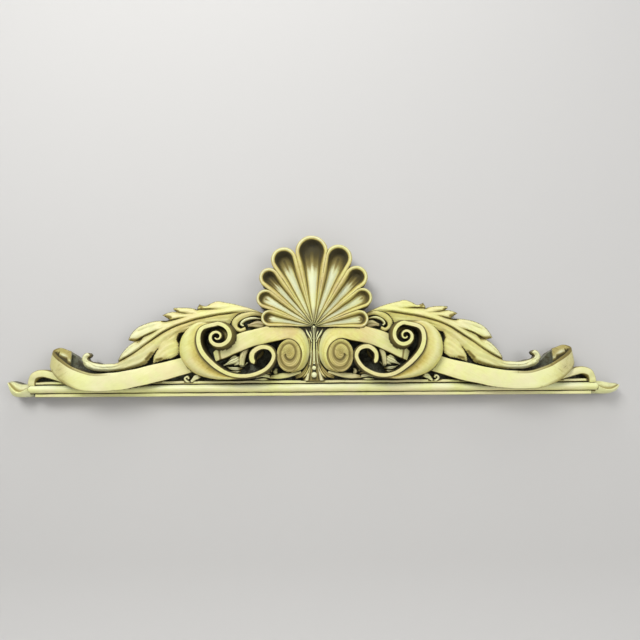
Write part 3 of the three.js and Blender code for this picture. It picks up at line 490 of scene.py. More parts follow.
# three more points below the upper edge carry the olive line of painted shade where its bevel starts
share = np.insert(share, -4, (0.7, 0.74, 0.78))
out, drop = (np.insert(values, -4, (0, 0, 0)) for values in (out, drop))
inside = np.linspace(0.97, 0.03, 7)
rings, tones, backing = [], [], []
for i in range(OUTER_STEPS):
    span = upper[i] - lower[i]
    half = np.linalg.norm(span) / 2
    place = ((share * (half - OUTER_ARRIS) + out * OUTER_ARRIS) / half + 1) / 2
    inwards = np.cross(span, upper_way[i] + lower_way[i])
    inwards /= np.linalg.norm(inwards)
    hollow = 0.15 * np.sin(place * math.pi) - drop * OUTER_ARRIS
    face = lower[i] + span * place[:, None] - inwards * hollow[:, None]
    back = lower[i] + span * inside[:, None] + inwards * RIBBON_THICKNESS
    rings.append(np.vstack([face, back]))
    if i <= turn_start + 1:
        backing.append(lower[i] + span * np.linspace(0.04, 0.96, 5)[:, None] - [0, 0, 0.35])
    # the band darkens along its lower edge, where it leaves the C-scroll, along the bevel and round the
    # turned end, and the turned end takes ochre: painted shade
    t = i / turn_start
    turned = smooth(t, 0.93, 1.25)
    bevel = smooth(place, 0.85, 0.9) * smooth(t, 0.6, 0.8)
    line = bell(place, 0.87, 0.015) * smooth(t, 0.6, 0.8)
    dirt_and_shade = 0.4 * (1 - smooth(place, 0, 0.05)) + 0.1 * smooth(place, 0.96, 1)
    dirt_and_shade = dirt_and_shade + 0.2 * turned * smooth(t, 0.9, 1.05) + 0.28 * bevel
    dirt_and_shade = dirt_and_shade + 0.15 * (1 - smooth(t, 0, 0.1)) + 0.3 * line
    wash, light = 0.1 + 0.1 * (1 - t) + 0.4 * turned, 0.3 + 0.25 * np.minimum(t, 1)
    # painted light falls into the curl along its slit as a pale painted highlight, and painted shade keeps
    # one side of it brown
    slit, _ = to_line(back[:, :2], [(56.36, 5.50), (59.40, 7.78)])
    lit = bell(slit, 0.3, 0.25)
    inner_shade = np.clip(0.26 - 0.26 * lit + 0.55 * (slit < 0), 0, 1)
    tones.append(np.vstack([
        paint(place.shape, dirt_and_shade, wash, light),
        paint(inside.shape, inner_shade, 0.8 - 0.75 * lit, 0.2 + 0.8 * lit),
    ]))
loft("outer_ribbon", rings, tones)
# a dark backing fills the space behind the ribbon: painted shade
relief("ribbon_backing", backing, paint(np.shape(backing)[:2], grime_and_shade=0.8))
# a dark bed fills the hollow of the curl: painted shade
beds = [(54.4, 2.6, 5.4), (56.4, 2.4, 7.4), (58.6, 2.6, 8.6), (59.8, 3.4, 8.8)]
rows = [[(x, foot, CURL_BED), (x, head, CURL_BED)] for x, foot, head in beds]
relief("curl_bed", rows, paint((len(beds), 2), grime_and_shade=0.85, gold=0.3))


# Acanthus leaves
# Each leaf leans out from the shell over the C-scroll to a curled tail. Its lobes overlap like tiles, with
# hooked tips, and a crisp mid-rib hangs over a groove. Greenish-white painted highlights, gold, and brown in
# the cuts from dirt and painted shade.
LEAF_DEPTH = 5.2
TAIL_UNDERCUT = 2.6
BLADE_STEPS, BLADE_COLUMNS = 176, 76
rib_line = [
    (11.4, 17.0), (18.6, 17.35), (24.8, 16.4), (31.0, 14.6), (37.3, 10.85), (42.5, 7.1), (46.5, 4.8),
    (50.4, 4.6), (52.6, 6.0), (52.9, 8.6),
]
outline = [curve([(11.8, 17.0), (15.4, 18.5), (20.5, 19.85), (22.6, 20.1), (25.0, 19.0)], 24)[0]]
for tip, under, notch, swell in (
    ((26.6, 19.5), (26.9, 18.8), (27.2, 18.2), (25.8, 19.0)),
    ((32.6, 18.6), (32.5, 18.1), (32.0, 17.8), (29.8, 18.9)),
    ((35.0, 16.9), (33.32, 15.81), (34.0, 15.6), (33.6, 17.6)),
    ((42.9, 11.0), (40.65, 10.36), (39.9, 11.3), (41.6, 15.6)),
    ((45.2, 5.7), (45.8, 5.5), (46.4, 5.5), (43.6, 10.0)),
):
    start, bend, end = outline[-1][-1], np.array(swell), np.array(tip)
    t = np.linspace(0, 1, 12)[1:, None]
    outline += [start * (1 - t) ** 2 + bend * 2 * t * (1 - t) + end * t**2, np.array([under, notch])]
tail_line = [
    (46.4, 5.5), (48.8, 5.4), (50.6, 5.7), (52.0, 6.2), (52.4, 6.8), (52.0, 7.1), (51.8, 7.65), (52.4, 8.1),
    (53.2, 7.7), (53.7, 6.5), (53.1, 5.0), (51.4, 4.1), (49.0, 3.75), (45.5, 3.75), (42.0, 4.2), (38.6, 5.3),
]
under_line = [(36.9, 5.4), (34.4, 6.3), (32.6, 6.6), (31.2, 7.7), (30.9, 9.3), (31.6, 11.0), (31.2, 12.5)]
outline += [
    curve(tail_line, 70)[0][1:], curve([(35.8, 9.0), (36.7, 7.2), (36.9, 5.4)], 9)[0],
    curve(under_line, 30)[0][1:], np.array([(29.0, 13.2), (24.5, 13.6)]),
    curve([(19.6, 14.0), (18.9, 15.6), (17.4, 17.1), (15.2, 17.6)], 12)[0],
]
outline = np.vstack(outline)
# the leaf's cut sides darken towards the back: painted shade
slab("leaf_outline", outline, ((-1, 1, 0), (2.4, 0.95, 0.2), (4.0, 0.5, 0.7), (LEAF_DEPTH * 2, 0.3, 0.7)))
corners = [(x, z, depth) for x in (48, 54) for z in (6, 10) for depth in (-1, TAIL_UNDERCUT)]
faces = [(0, 1, 3, 2), (4, 6, 7, 5), (0, 4, 5, 1), (2, 3, 7, 6), (0, 2, 6, 4), (1, 5, 7, 3)]
add_form("undercut", corners, faces, paint((8,), grime_and_shade=1))


def cut(form, operation, tool):
    """Cuts or trims one form by another, which is used up."""
    form, tool = carving.objects[form], carving.objects[tool]
    bpy.context.scene.collection.objects.link(form)
    change = form.modifiers.new("cut", "BOOLEAN")
    change.operation, change.solver, change.object = operation, "MANIFOLD", tool
    made = bpy.data.meshes.new_from_object(form.evaluated_get(bpy.context.evaluated_depsgraph_get()))
    form.modifiers.clear()
    form.data = made
    bpy.context.scene.collection.objects.unlink(form)
    bpy.data.objects.remove(tool)


def fading(distance, width):
    """One on a line, dying away on both sides of it."""
    return np.exp(-np.abs(distance) / width)


GROOVE = curve([
    (15.5, 17.45), (18.5, 17.4), (23.5, 16.65), (28.6, 15.5), (33.1, 13.7), (37.3, 11.0), (41.0, 8.3),
    (44.0, 6.5), (46.6, 5.45),
], 60)[0]
# each crease runs from the body of the leaf to a notch: its points, its depth, and how broadly it fades
CREASES = [
    ([(19.5, 18.1), (22.5, 18.2), (25.2, 18.3), (27.2, 18.2)], 0.9, 0.5),
    ([(26.0, 17.0), (28.6, 17.2), (30.4, 17.4), (32.1, 17.8)], 0.8, 0.5),
    ([(27.6, 16.2), (30.2, 16.3), (32.4, 15.8), (34.6, 15.45)], 1.0, 0.6),
    ([(33.0, 14.4), (35.6, 13.4), (38.2, 12.4), (40.5, 11.25)], 1.1, 0.7),
    ([(37.5, 12.2), (40.2, 10.6), (42.8, 8.6), (45.0, 6.3)], 0.35, 0.5),
    ([(31.5, 13.4), (33.4, 11.8), (34.8, 10.3), (35.8, 8.9)], 0.3, 0.5),
    ([(24.0, 15.4), (28.0, 14.5), (31.5, 12.9), (34.0, 10.6)], 0.3, 0.8),
    ([(36.5, 9.6), (40.5, 6.9), (45.0, 4.9), (49.5, 4.7), (52.2, 6.0)], 0.25, 0.5),
    ([(20.5, 18.9), (23.5, 19.2), (25.8, 19.0)], 0.2, 0.4),
    ([(34.0, 14.9), (37.5, 14.3), (40.5, 13.2)], 0.3, 0.6),
]
bevel_line = [(35.4, 9.6), (37.4, 7.6), (39.4, 6.0), (42.0, 4.95), (45.5, 4.3), (49.5, 4.35), (52.0, 5.4)]
rib, rib_way = curve(rib_line, BLADE_STEPS)
across = np.linspace(-1, 1, BLADE_COLUMNS)
across = np.sign(across) * np.abs(across) ** 1.35
t = np.linspace(0, 1, BLADE_STEPS)[:, None]
slim = smooth(t, 0.55, 0.85)
above = mix(mix(4, 6.5, smooth(t, 0, 0.3)), 1.9, slim)
below = mix(mix(3, 7.5, smooth(t, 0, 0.35)), 1.3, slim)
away = np.where(across < 0, across * below, across * above)
spots = rib[:, None] + np.stack([-rib_way[:, 1:2] * away, rib_way[:, 0:1] * away], -1)
flat = spots.reshape(-1, 2)
gap, passed = to_line(flat, GROOVE)
edge = np.abs(to_line(flat, np.vstack([outline, outline[:1]]))[0])
tail = smooth(flat[:, 0], 43, 48)
height = LEAF_DEPTH - 0.5 * (1 - smooth(flat[:, 0], 12, 18)) - 1.1 * (1 - fading(gap, 4)) * (1 - tail)
height -= 0.45 * (1 - smooth(edge, 0, 0.9)) ** 2 + 0.08 * fading(edge, 0.25) + 0.35 * tail
reach = smooth(passed, 0, 0.12) * (1 - smooth(passed, 0.93, 1))
height -= reach * (0.45 * bell(gap, -0.12, 0.2) + 0.3 * fading(gap + 0.12, 0.7) * (gap < 0.1))
height += reach * 0.16 * bell(gap, 0.42, 0.3)
# below the overhanging mid-rib the groove is darkened: painted shade and dirt
cut_width = mix(0.13, 0.22, smooth(passed, 0.2, 0.6))
grime_and_shade = reach * (0.34 + 0.1 * np.sin(passed * 14)) * bell(gap, -0.1, cut_width)
grime_and_shade += reach * 0.22 * bell(gap, -0.4, 0.45) * (0.65 + 0.35 * np.sin(passed * 23))
gold = 0.08 + reach * 0.75 * fading(gap + 0.3, 0.5) + 0.45 * fading(edge, 0.35)
# fine veins run along the blade, opening a little towards the edge
veins = np.sin(gap * 5.5 + 1.5 * np.sin(flat[:, 0] * 0.7))
veins = veins * smooth(edge, 0.2, 0.8) * smooth(np.abs(gap), 0.6, 1.2)
height -= 0.05 * veins
gold += 0.22 * np.clip(veins, 0, 1)
# each crease is darkened along its line and given ochre on its under side: painted shade
for line, depth, broad in CREASES:
    gap, passed = to_line(flat, curve(line, 30)[0])
    fade = smooth(passed, 0, 0.75) * (1 - smooth(np.abs(gap), 1.6, 2.6))
    under = gap < 0
    height -= depth * fade * np.where(under, fading(gap, broad), fading(gap, 0.1))
    grime_and_shade = np.maximum(grime_and_shade, min(depth * 0.65, 0.6) * fade**1.5 * bell(gap, 0, 0.17))
    gold += 0.6 * fade * depth * np.where(under, fading(gap, broad), 0)
# the hooked tips roll under, and their undersides carry brown painted shade
for (tip, inner), broad in (
    (((26.62, 19.11), (25.54, 18.30)), 0.3), (((32.25, 18.10), (31.10, 17.76)), 0.26),
    (((34.35, 16.60), (32.37, 16.11)), 0.42), (((42.29, 11.03), (39.59, 10.92)), 0.42),
    (((51.4, 7.4), (52.4, 6.9)), 0.2), (((38.36, 6.52), (36.55, 8.49)), 0.3),
    (((36.01, 6.37), (34.38, 6.73)), 0.3),
):
    gap, passed = to_line(flat, [tip, inner])
    shaded = bell(gap, 0, broad) * (1 - smooth(passed, 0.7, 1))
    grime_and_shade = np.maximum(grime_and_shade, 0.5 * shaded)
    gold += 0.9 * shaded
    height -= 0.05 * shaded
# towards the tail the lower side is a bevelled facet, given ochre and brown painted shade
gap, passed = to_line(flat, curve(bevel_line, 40)[0])
started = to_line(flat, [(35.3, 9.7), (37.8, 5.1)])[0] > 0
facet = smooth(-gap, 0, 0.35) * (1 - smooth(np.abs(gap), 3, 4)) * started
height -= 0.8 * smooth(-gap, 0, 1.6) * facet * (1 - 0.6 * tail)
gold += 0.9 * facet * (1 - tail)
grime_and_shade = np.maximum(grime_and_shade, (0.12 + 0.35 * smooth(-gap, 0.8, 1.6)) * facet * (1 - tail))
# the leaf darkens a little at its outline: painted shade
grime_and_shade = np.maximum(grime_and_shade, 0.2 * fading(edge, 0.25))
lower_half = (to_line(flat, GROOVE)[0] < 0) * (1 - tail)
gold += 0.16 * lower_half
chalk_and_highlight = 0.3 + 0.6 * smooth(flat[:, 0], 28, 47) - 0.15 * lower_half
grid = (BLADE_STEPS, BLADE_COLUMNS)
rows = np.concatenate([spots, height.reshape(*grid, 1)], axis=2)
relief("leaf_face", rows, paint(grid, *(coat.reshape(grid) for coat in (grime_and_shade, np.minimum(gold, 1), chalk_and_highlight))))
for side in (-1, 1):
    cut(f"leaf_face{side}", "INTERSECT", f"leaf_outline{side}")
    cut(f"leaf_face{side}", "DIFFERENCE", f"undercut{side}")


# Shell
# Nine hollow lobes fan out from a hub over the stem. Each is a rounded rim round a scoop that is deepest at
# the tip. Gold and a pale green painted highlight on the rims; brown dirt and painted shade at the tips and
# along both sides of every scoop.
CENTRE_X = 0.25
HUB_HEIGHT = 14.0
SHELL_RIM = 1.25
SHELL_HUB_DEPTH = 4.6
SHELL_TIP_DEPTH = 6.0
SCOOP_DEPTH = 2.2
FLANK_POINTS, TIP_POINTS = 18, 13
LONGEST = 21.6
LOBES = [  # lean from the vertical and half the spread, in degrees, and the length
    (-79.8, 10.6, 12.5), (-60.2, 9.6, 15.2), (-42.4, 8.8, 17.9), (-24.1, 10.2, 20.3), (-1.4, 12.5, LONGEST),
    (20.2, 10.9, 20.4), (41.2, 10.1, 18.0), (60.2, 10.0, 15.5), (81.8, 11.0, 12.9),
]
# from the outline inwards: 1 at the rim's inner edge and 2 on the axis, and the fall below the rim
SCOOP = np.array([
    # inset, fall, scoop, grime and painted shade, gold, chalk and painted highlight
    (0, 0.5, 0, 0.3, 0.9, 0), (0.05, 0.35, 0, 0.15, 0.9, 0), (0.13, 0.2, 0, 0.06, 0.8, 0.2),
    (0.24, 0.06, 0, 0, 0.5, 0.5), (0.34, 0, 0, 0, 0.1, 1), (0.46, 0.04, 0, 0, 0.5, 0.6),
    (0.62, 0.16, 0, 0.05, 0.95, 0.1), (0.8, 0.38, 0.02, 0.18, 1, 0), (0.94, 0.55, 0.12, 0.4, 1, 0),
    (1.03, 0.5, 0.5, 0.7, 0.7, 0), (1.12, 0.4, 0.8, 0.4, 0.9, 0), (1.24, 0.35, 0.97, 0.08, 0.8, 0.2),
    (1.36, 0.3, 1, 0.02, 0.4, 0.8), (1.5, 0.3, 0.99, 0, 0.05, 1), (1.64, 0.3, 0.95, 0.03, 0, 1),
    (1.78, 0.3, 0.92, 0, 0, 1), (1.9, 0.3, 0.9, 0.04, 0, 1), (2, 0.3, 0.9, 0, 0, 1),
])
for number, (lean, spread, length) in enumerate(LOBES):
    half = math.radians(spread)
    tip_radius = length * math.sin(half) / (1 + math.sin(half))
    tip_centre = length - tip_radius
    flank = tip_centre * math.cos(half)
    # the points of a ring run up the straight flank and then round the tip
    shares = np.concatenate([np.linspace(0.03, 0.97, FLANK_POINTS), np.ones(TIP_POINTS)])
    turns = np.concatenate([np.full(FLANK_POINTS, -half), np.linspace(-half, math.pi / 2, TIP_POINTS)])
    run = np.where(shares < 1, flank * shares * math.cos(half), tip_centre + tip_radius * np.sin(turns))
    aside = np.where(shares < 1, flank * shares * math.sin(half), tip_radius * np.cos(turns))
    to_axis = np.where(shares < 1, aside / math.cos(half), tip_radius)
    full = smooth(length, 14, 20)
    rim = np.minimum(to_axis * 0.8, SHELL_RIM * mix(0.72, 1, full) * mix(0.1, 1, smooth(shares, 0, 0.95)))
    top = mix(SHELL_HUB_DEPTH, SHELL_TIP_DEPTH, smooth(shares, 0, 0.9))
    sunk = SCOOP_DEPTH * mix(0.5, 0.85, smooth(length, 14, 21)) * mix(0.12, 1, smooth(shares, 0, 0.85))
    apart = smooth(shares + np.maximum(turns, -0.2), 0.85, 1.3)
    lead = math.radians(lean)
    away = np.array([math.sin(lead), math.cos(lead)])
    side_way = np.array([math.cos(lead), -math.sin(lead)])
    rings, tones = [], []
    for inset, fall, scoop, grime_and_shade, gold, chalk_and_highlight in [(0, 99, 0, 1, 0, 0), *SCOOP]:
        inwards = rim * inset if inset <= 1 else mix(rim, to_axis, inset - 1)
        r = run - inwards * np.sin(turns)
        s = np.maximum(aside - inwards * np.cos(turns), 0)
        # where two lobes touch, their rims run together into one ridge
        lip = mix(0.25, 1, apart) if inset < 0.3 else 1
        depth = np.maximum(top - fall * lip * mix(0.5, 1, rim / SHELL_RIM) - sunk * scoop, 0)
        # the reach of each point along the lobe sets how dark the scoop is, with dirt and painted shade at
        # the tip
        reach = r / length
        start, end = 0.56 + (LONGEST - length) * 0.025, 0.9 + (LONGEST - length) * 0.01
        streak = 0.05 * math.sin(inset * 47 + number * 3) * (inset < 1.85)
        tip_dark = smooth(reach + 0.05 * (inset < 1.3) + streak, start, end) if scoop > 0.01 else 0
        # towards the hub only the cuts beside the ridges keep their dirt and painted shade
        if 0.9 < inset < 1.2:
            hub_dark = 1.1 * (1 - smooth(reach, 0.1, 0.45))
        else:
            hub_dark = 0.5 * (1 - smooth(reach, 0.1, 0.3)) * (inset > 1)
        dirt_and_shade = np.maximum(tip_dark * mix(0.7, 0.85, full), hub_dark * 0.6)
        dirt_and_shade = np.clip(np.maximum(grime_and_shade * (0.5 + 0.5 * smooth(reach, 0.1, 0.5)), dirt_and_shade), 0, 1)
        centre = 1 - smooth(reach, 0.06, 0.18)
        ridge = (1 - smooth(turns, -0.2, 0.7)) * smooth(reach, 0.25, 0.5) if inset < 0.7 else 0 * turns
        dirt_and_shade = (dirt_and_shade + 0.05 * ridge) * (1 - 0.5 * centre * (inset < 0.9))
        wash = np.maximum(np.maximum(gold, tip_dark), 0.55 * ridge) * (1 - 0.6 * centre)
        light = np.maximum(chalk_and_highlight * (1 - tip_dark) * (1 - 0.7 * ridge), 0.5 * centre)
        warm = 0.35 * (1 - smooth(reach, 0.2, 0.6)) * (inset > 1) + 0.45 * ridge
        tone = paint(r.shape, dirt_and_shade, wash, light, warm)
        right, left = (np.column_stack([
            CENTRE_X + away[0] * r + hand * side_way[0] * s,
            HUB_HEIGHT + away[1] * r + hand * side_way[1] * s, depth,
        ]) for hand in (1, -1))
        rings.append(np.vstack([right, left[-2::-1]]))
        tones.append(np.vstack([tone, tone[-2::-1]]))
    rings, tones = np.array(rings), np.array(tones)
    count, around = rings.shape[:2]
    faces = [tuple(range(around))]
    for i in range(count - 1):
        for j in range(around):
            a, b = i * around + j, i * around + (j + 1) % around
            faces.append((a, a + around, b + around, b))
    add_form(f"shell{number}_", rings.reshape(-1, 3), faces, tones.reshape(-1, 4), MIDDLE)


# Stem
# A fluted stalk rises from the rail to the shell's hub between the two rolls, with a calyx at its head, three
# beads at its foot and leaves spread on both sides of them.
STEM_DEPTH = 4.4
WEB_POINTS, STALK_POINTS = 13, 60
BEADS = [(5.3, 0.24), (4.2, 0.5), (2.6, 0.66), (HUB_HEIGHT - 0.2, 0.3)]  # height and radius
web = [  # height and half the width
    (15.3, 12.5), (14.6, 12.5), (14.0, 10.5), (13.5, 4.5), (12.6, 2.0), (11, 1.6), (8, 1.35), (5.4, 1.45),
    (4, 1.6), (2.6, 1.7), (1.2, 1.6),
]
across = np.linspace(-1, 1, WEB_POINTS)
rows = []
for z, half in web:
    depth = mix(4.2, 3.6, smooth(z, 12.4, 13.6)) - 0.2 * across**2
    rows.append(np.column_stack([CENTRE_X + across * half, np.full(WEB_POINTS, z), depth]))
# the web darkens at its foot and under the shell's hub: painted shade
dirt_and_shade = np.interp([z for z, _ in web], [1, 5, 7, 12, 12.6], [0.5, 0.3, 0.1, 0.15, 0.75])
relief("stem_web", rows, paint((len(web), WEB_POINTS), dirt_and_shade[:, None], 0.5, 0.4, 0.1), MIDDLE)

stalk, _ = curve([  # half the width, and height
    (0.7, 13.8), (0.62, 12.8), (0.7, 11.6), (0.85, 10.2), (0.98, 8.2), (1.1, 6.4), (1.5, 4.6),
    (2.0, 3.0), (2.7, 1.3),
], STALK_POINTS)
# the dirt of each flute below includes painted shade in the deep flutes
flutes = [  # place across the stalk, fall and dirt
    (-1, -1.2, 0.9), (-0.9, -0.75, 0.5), (-0.76, -0.18, 0.05), (-0.62, -0.1, 0), (-0.5, -0.25, 0.3),
    (-0.42, -0.6, 0.85), (-0.34, -0.65, 0.95), (-0.26, -0.3, 0.6), (-0.2, 0.08, 0.05), (-0.1, 0.22, 0),
    (0, 0.26, 0),
]
flutes += [(-place, fall, dirt_and_shade) for place, fall, dirt_and_shade in flutes[-2::-1]]
rows, tones = [], []
for half, z in stalk:
    spread = max(half / 0.95, 1)
    low_part = 1 - smooth(z, 4.5, 6)
    row, tone = [], []
    for place, fall, dirt_and_shade in flutes:
        # the middle rib keeps its width where the foot flares out, and ends above the beads; below its end
        # the sunk middle is darkened with painted shade
        in_rib = abs(place) < 0.45
        at = place * half if abs(place) > 0.3 else place * half / spread
        row.append((CENTRE_X + at, z, STEM_DEPTH + mix(fall, min(fall, -0.45) if in_rib else fall, low_part)))
        grime_and_shade = mix(dirt_and_shade, 0.7 if in_rib else dirt_and_shade, low_part)
        tone.append(paint((), grime_and_shade, 0.15 + 0.25 * low_part, 0.9 * (dirt_and_shade < 0.2), 0.35 * (abs(place) > 0.5)))
    rows.append(row)
    tones.append(tone)
relief("stem", rows, tones, MIDDLE)

for number, (height, radius) in enumerate(BEADS):
    ball = bmesh.new()
    bmesh.ops.create_uvsphere(ball, u_segments=24, v_segments=14, radius=radius)
    corners = [(CENTRE_X + v.co.x, height + v.co.z, STEM_DEPTH + radius * 0.3 + v.co.y) for v in ball.verts]
    faces = [tuple(v.index for v in face.verts) for face in ball.faces]
    ball.free()
    rise = np.array(corners)[:, 2] - STEM_DEPTH
    # each bead darkens towards the back where it meets the stem: painted shade
    coats = paint(rise.shape, 1 - smooth(rise, 0, radius * 0.9), 0.2, 0.9)
    add_form(f"bead{number}_", corners, faces, coats, MIDDLE)


# Small leaves and curls
# Sprigs fill the corners: a curled leaf beside the shell, a tongue and leaflets inside the C-scroll, bands
# that cradle the rolls and a sprig under the outer ribbon. Pale tips over roots browned with dirt and
# painted shade.
SPRIG_STEPS = 26
SPRIG_ARRIS = 0.16
TAN = (0.08, 0.3, 0.5, 0.4)
PALE = (0.05, 0.2, 0.7, 0)
BRIGHT = (0, 0.1, 0.7, 0.25)
SPRIGS = [  # name, points, width, depth, start and end as shares of the width, depth of the vein, and coats
    ("curled_arch", [
        (11.8, 16.5), (14.4, 17.15), (16.7, 16.6), (18.2, 15.3), (18.3, 13.9), (17.2, 13.1), (16.0, 13.5),
    ], 1.45, 4.5, 0.5, 0.6, 0, (0.1, 0.6, 0.3, 0)),
    ("curled_lip", [(12.8, 15.9), (14.6, 16.1), (16.2, 15.6), (17.0, 14.7), (16.5, 14.2)],
     0.6, 4.4, 0.5, 0.7, 0, (0, 0.3, 0.8, 0)),
    ("curled_bed", [(11.6, 14.2), (13.6, 14.7), (15.6, 14.3)],
     1.8, 3.6, 0.6, 0.4, 0.1, (0.12, 0.15, 0.5, 0.9)),
    ("hook_tongue", [(15.14, 9.26), (16.17, 7.93), (16.57, 6.41), (16.68, 4.96)],
     1.35, 4.8, 0.4, 0.85, 0.05, TAN),
    ("hook_patch", [(12.45, 8.81), (13.3, 7.39), (14.36, 5.97)], 1.6, 3.3, 0.6, 0.5, 0.1, (0.5, 0.3, 0.5, 0)),
    ("hook_lip", [(17.37, 5.06), (16.58, 4.86), (15.53, 5.56)], 0.6, 4.1, 0.4, 0.3, 0, PALE),
    ("leaflet_a", [(17.11, 6.76), (17.98, 6.2), (19.18, 5.65), (20.57, 4.9)],
     1.4, 4.5, 0.6, 0.2, 0.12, BRIGHT),
    ("leaflet_b", [(17.55, 6.91), (18.54, 6.77), (19.51, 6.12)], 0.9, 4.4, 0.5, 0.2, 0.1, BRIGHT),
    ("leaflet_c", [(16.99, 5.84), (17.65, 5.4), (18.38, 4.94)], 0.9, 4.3, 0.5, 0.2, 0.1, BRIGHT),
    ("leaflet_d", [(16.72, 4.18), (18.13, 4.1), (19.23, 4.25), (20.22, 4.68)],
     0.9, 3.8, 0.5, 0.2, 0.1, (0.15, 0.05, 0.8, 0)),
    ("leaflet_e", [(17.03, 3.5), (18.01, 3.39), (19.11, 3.59)],
     0.5, 3.6, 0.5, 0.3, 0.05, (0.2, 0.05, 0.8, 0)),
    ("cradle", [(10.59, 2.12), (8.23, 2.39), (5.73, 2.7), (3.18, 3.28)],
     1.25, 4.5, 0.6, 0.5, 0.03, (0, 0.4, 0.5, 0.2)),
    ("foot_leaf", [(4.5, 2.09), (3.05, 2.68), (1.96, 3.97), (1.18, 5.94)],
     1.0, 4.3, 0.8, 0.15, 0.1, (0.25, 0.8, 0.1, 0.3)),
    ("foot_blade", [(2.69, 1.98), (1.89, 2.81), (1.24, 4.06), (0.84, 5.47)],
     0.45, 4.5, 0.8, 0.3, 0, (0.15, 0.6, 0.4, 0.1)),
    ("cradle_knob", [(8.96, 2.74), (9.39, 3.42), (9.11, 4.11)], 1.0, 4.0, 0.6, 0.5, 0, TAN),
    ("cradle_bud", [(10.18, 3.19), (10.47, 3.8), (10.28, 4.36)], 0.6, 3.6, 0.7, 0.6, 0, (0.3, 0, 0.7, 0)),
    ("cradle_leaf_a", [(10.04, 1.93), (11.46, 2.45), (12.47, 2.51), (13.62, 2.05)],
     0.8, 4.4, 0.5, 0.2, 0.1, BRIGHT),
    ("cradle_leaf_b", [(10.4, 2.87), (11.58, 3.2), (12.36, 2.97)],
     0.65, 4.2, 0.5, 0.2, 0.08, (0.35, 0.2, 0.6, 0)),
    ("cradle_leaf_c", [(11.1, 1.61), (12.46, 1.67), (13.94, 1.59)], 0.5, 4.1, 0.5, 0.3, 0.05, BRIGHT),
    ("rail_sprig", [(26.01, 2.27), (27.02, 2.23), (28.12, 1.24)], 1.15, 4.3, 0.35, 0.5, 0.08, BRIGHT),
    ("rail_curl", [(28.21, 1.13), (29.15, 1.25), (29.73, 1.93), (29.08, 2.39), (28.79, 1.83)],
     0.5, 4.1, 0.7, 0.9, 0, (0.1, 0.2, 0.7, 0)),
    ("calyx_outer", [(1.98, 13.37), (1.54, 12.38), (0.96, 11.43), (0.48, 10.25)],
     0.4, 4.9, 0.5, 0.5, 0, (0.05, 0.2, 0.9, 0)),
    ("calyx_inner", [(1.05, 12.96), (0.71, 12.14), (0.43, 10.96)],
     0.28, 4.9, 0.5, 0.5, 0, (0.1, 0.2, 0.8, 0)),
]
share, out, drop = section(9, 4)
for name, points, width, depth, start, end, vein, (grime_and_shade, gold, chalk_and_highlight, rose) in SPRIGS:
    rows, tones = [], []
    for i, (at, way) in enumerate(zip(*curve(points, SPRIG_STEPS))):
        t = i / (SPRIG_STEPS - 1)
        taper = mix(start, 1, smooth(t, 0, 0.35)) * mix(1, end, smooth(t, 0.45, 1))
        half = width / 2 * max(taper, 0.05)
        arris = min(SPRIG_ARRIS, half * 0.75)
        offset = share * (half - arris) + out * arris
        crown = np.cos(offset / half * math.pi / 2) * min(0.3, half * 0.6)
        groove = bell(offset, 0, half * 0.18)
        height = depth + crown - 0.3 - drop * arris - vein * groove - 0.25 * (1 - smooth(t, 0, 0.2))
        rows.append(np.column_stack([at + np.array([-way[1], way[0]]) * offset[:, None], height]))
        # the edges, root and vein groove of each sprig darken: dirt and painted shade
        edge = smooth(np.abs(offset) / half, 0.8, 1)
        dirt_and_shade = grime_and_shade + 0.3 * edge + 0.3 * (1 - smooth(t, 0, 0.25)) + vein * 3 * groove
        tones.append(paint(offset.shape, np.clip(dirt_and_shade, 0, 1), gold, chalk_and_highlight, rose))
    relief(name, rows, tones)


# End flourishes
# At each end a narrow arch springs off the rail over a dark gap and runs down into an upturned cup with a
# turned-over rim. The cups differ a little in height from hand to hand.
TERMINAL_DEPTH = 4.6
ARCH_STEPS = 60
ARCH_HALF = 0.88
ARCH_ARRIS = 0.32
CUP_STEPS = 50
CUP_END = 71.99
line = [(57.5, 1.9), (60.6, 2.85), (62.8, 3.3), (64.5, 2.9), (65.4, 1.7), (65.6, 0.2), (65.9, -1.2)]
share, out, drop = section(5, 5)
offset = share * (ARCH_HALF - ARCH_ARRIS) + out * ARCH_ARRIS
rows = []
for i, (at, way) in enumerate(zip(*curve(line, ARCH_STEPS))):
    t = i / ARCH_STEPS
    height = TERMINAL_DEPTH - drop * ARCH_ARRIS + 0.1 * np.cos(offset / ARCH_HALF * math.pi / 2)
    height = height - 0.5 * smooth(t, 0.5, 0.7) - 1.0 * smooth(t, 0.7, 0.95)
    rows.append(np.column_stack([at + np.array([-way[1], way[0]]) * offset[:, None], height]))
# the arch darkens towards its edges: painted shade
tone = paint(offset.shape, 0.45 * smooth(np.abs(offset), 0.55, ARCH_HALF), 0.25, 0.5)
relief("arch", rows, [tone] * len(rows))

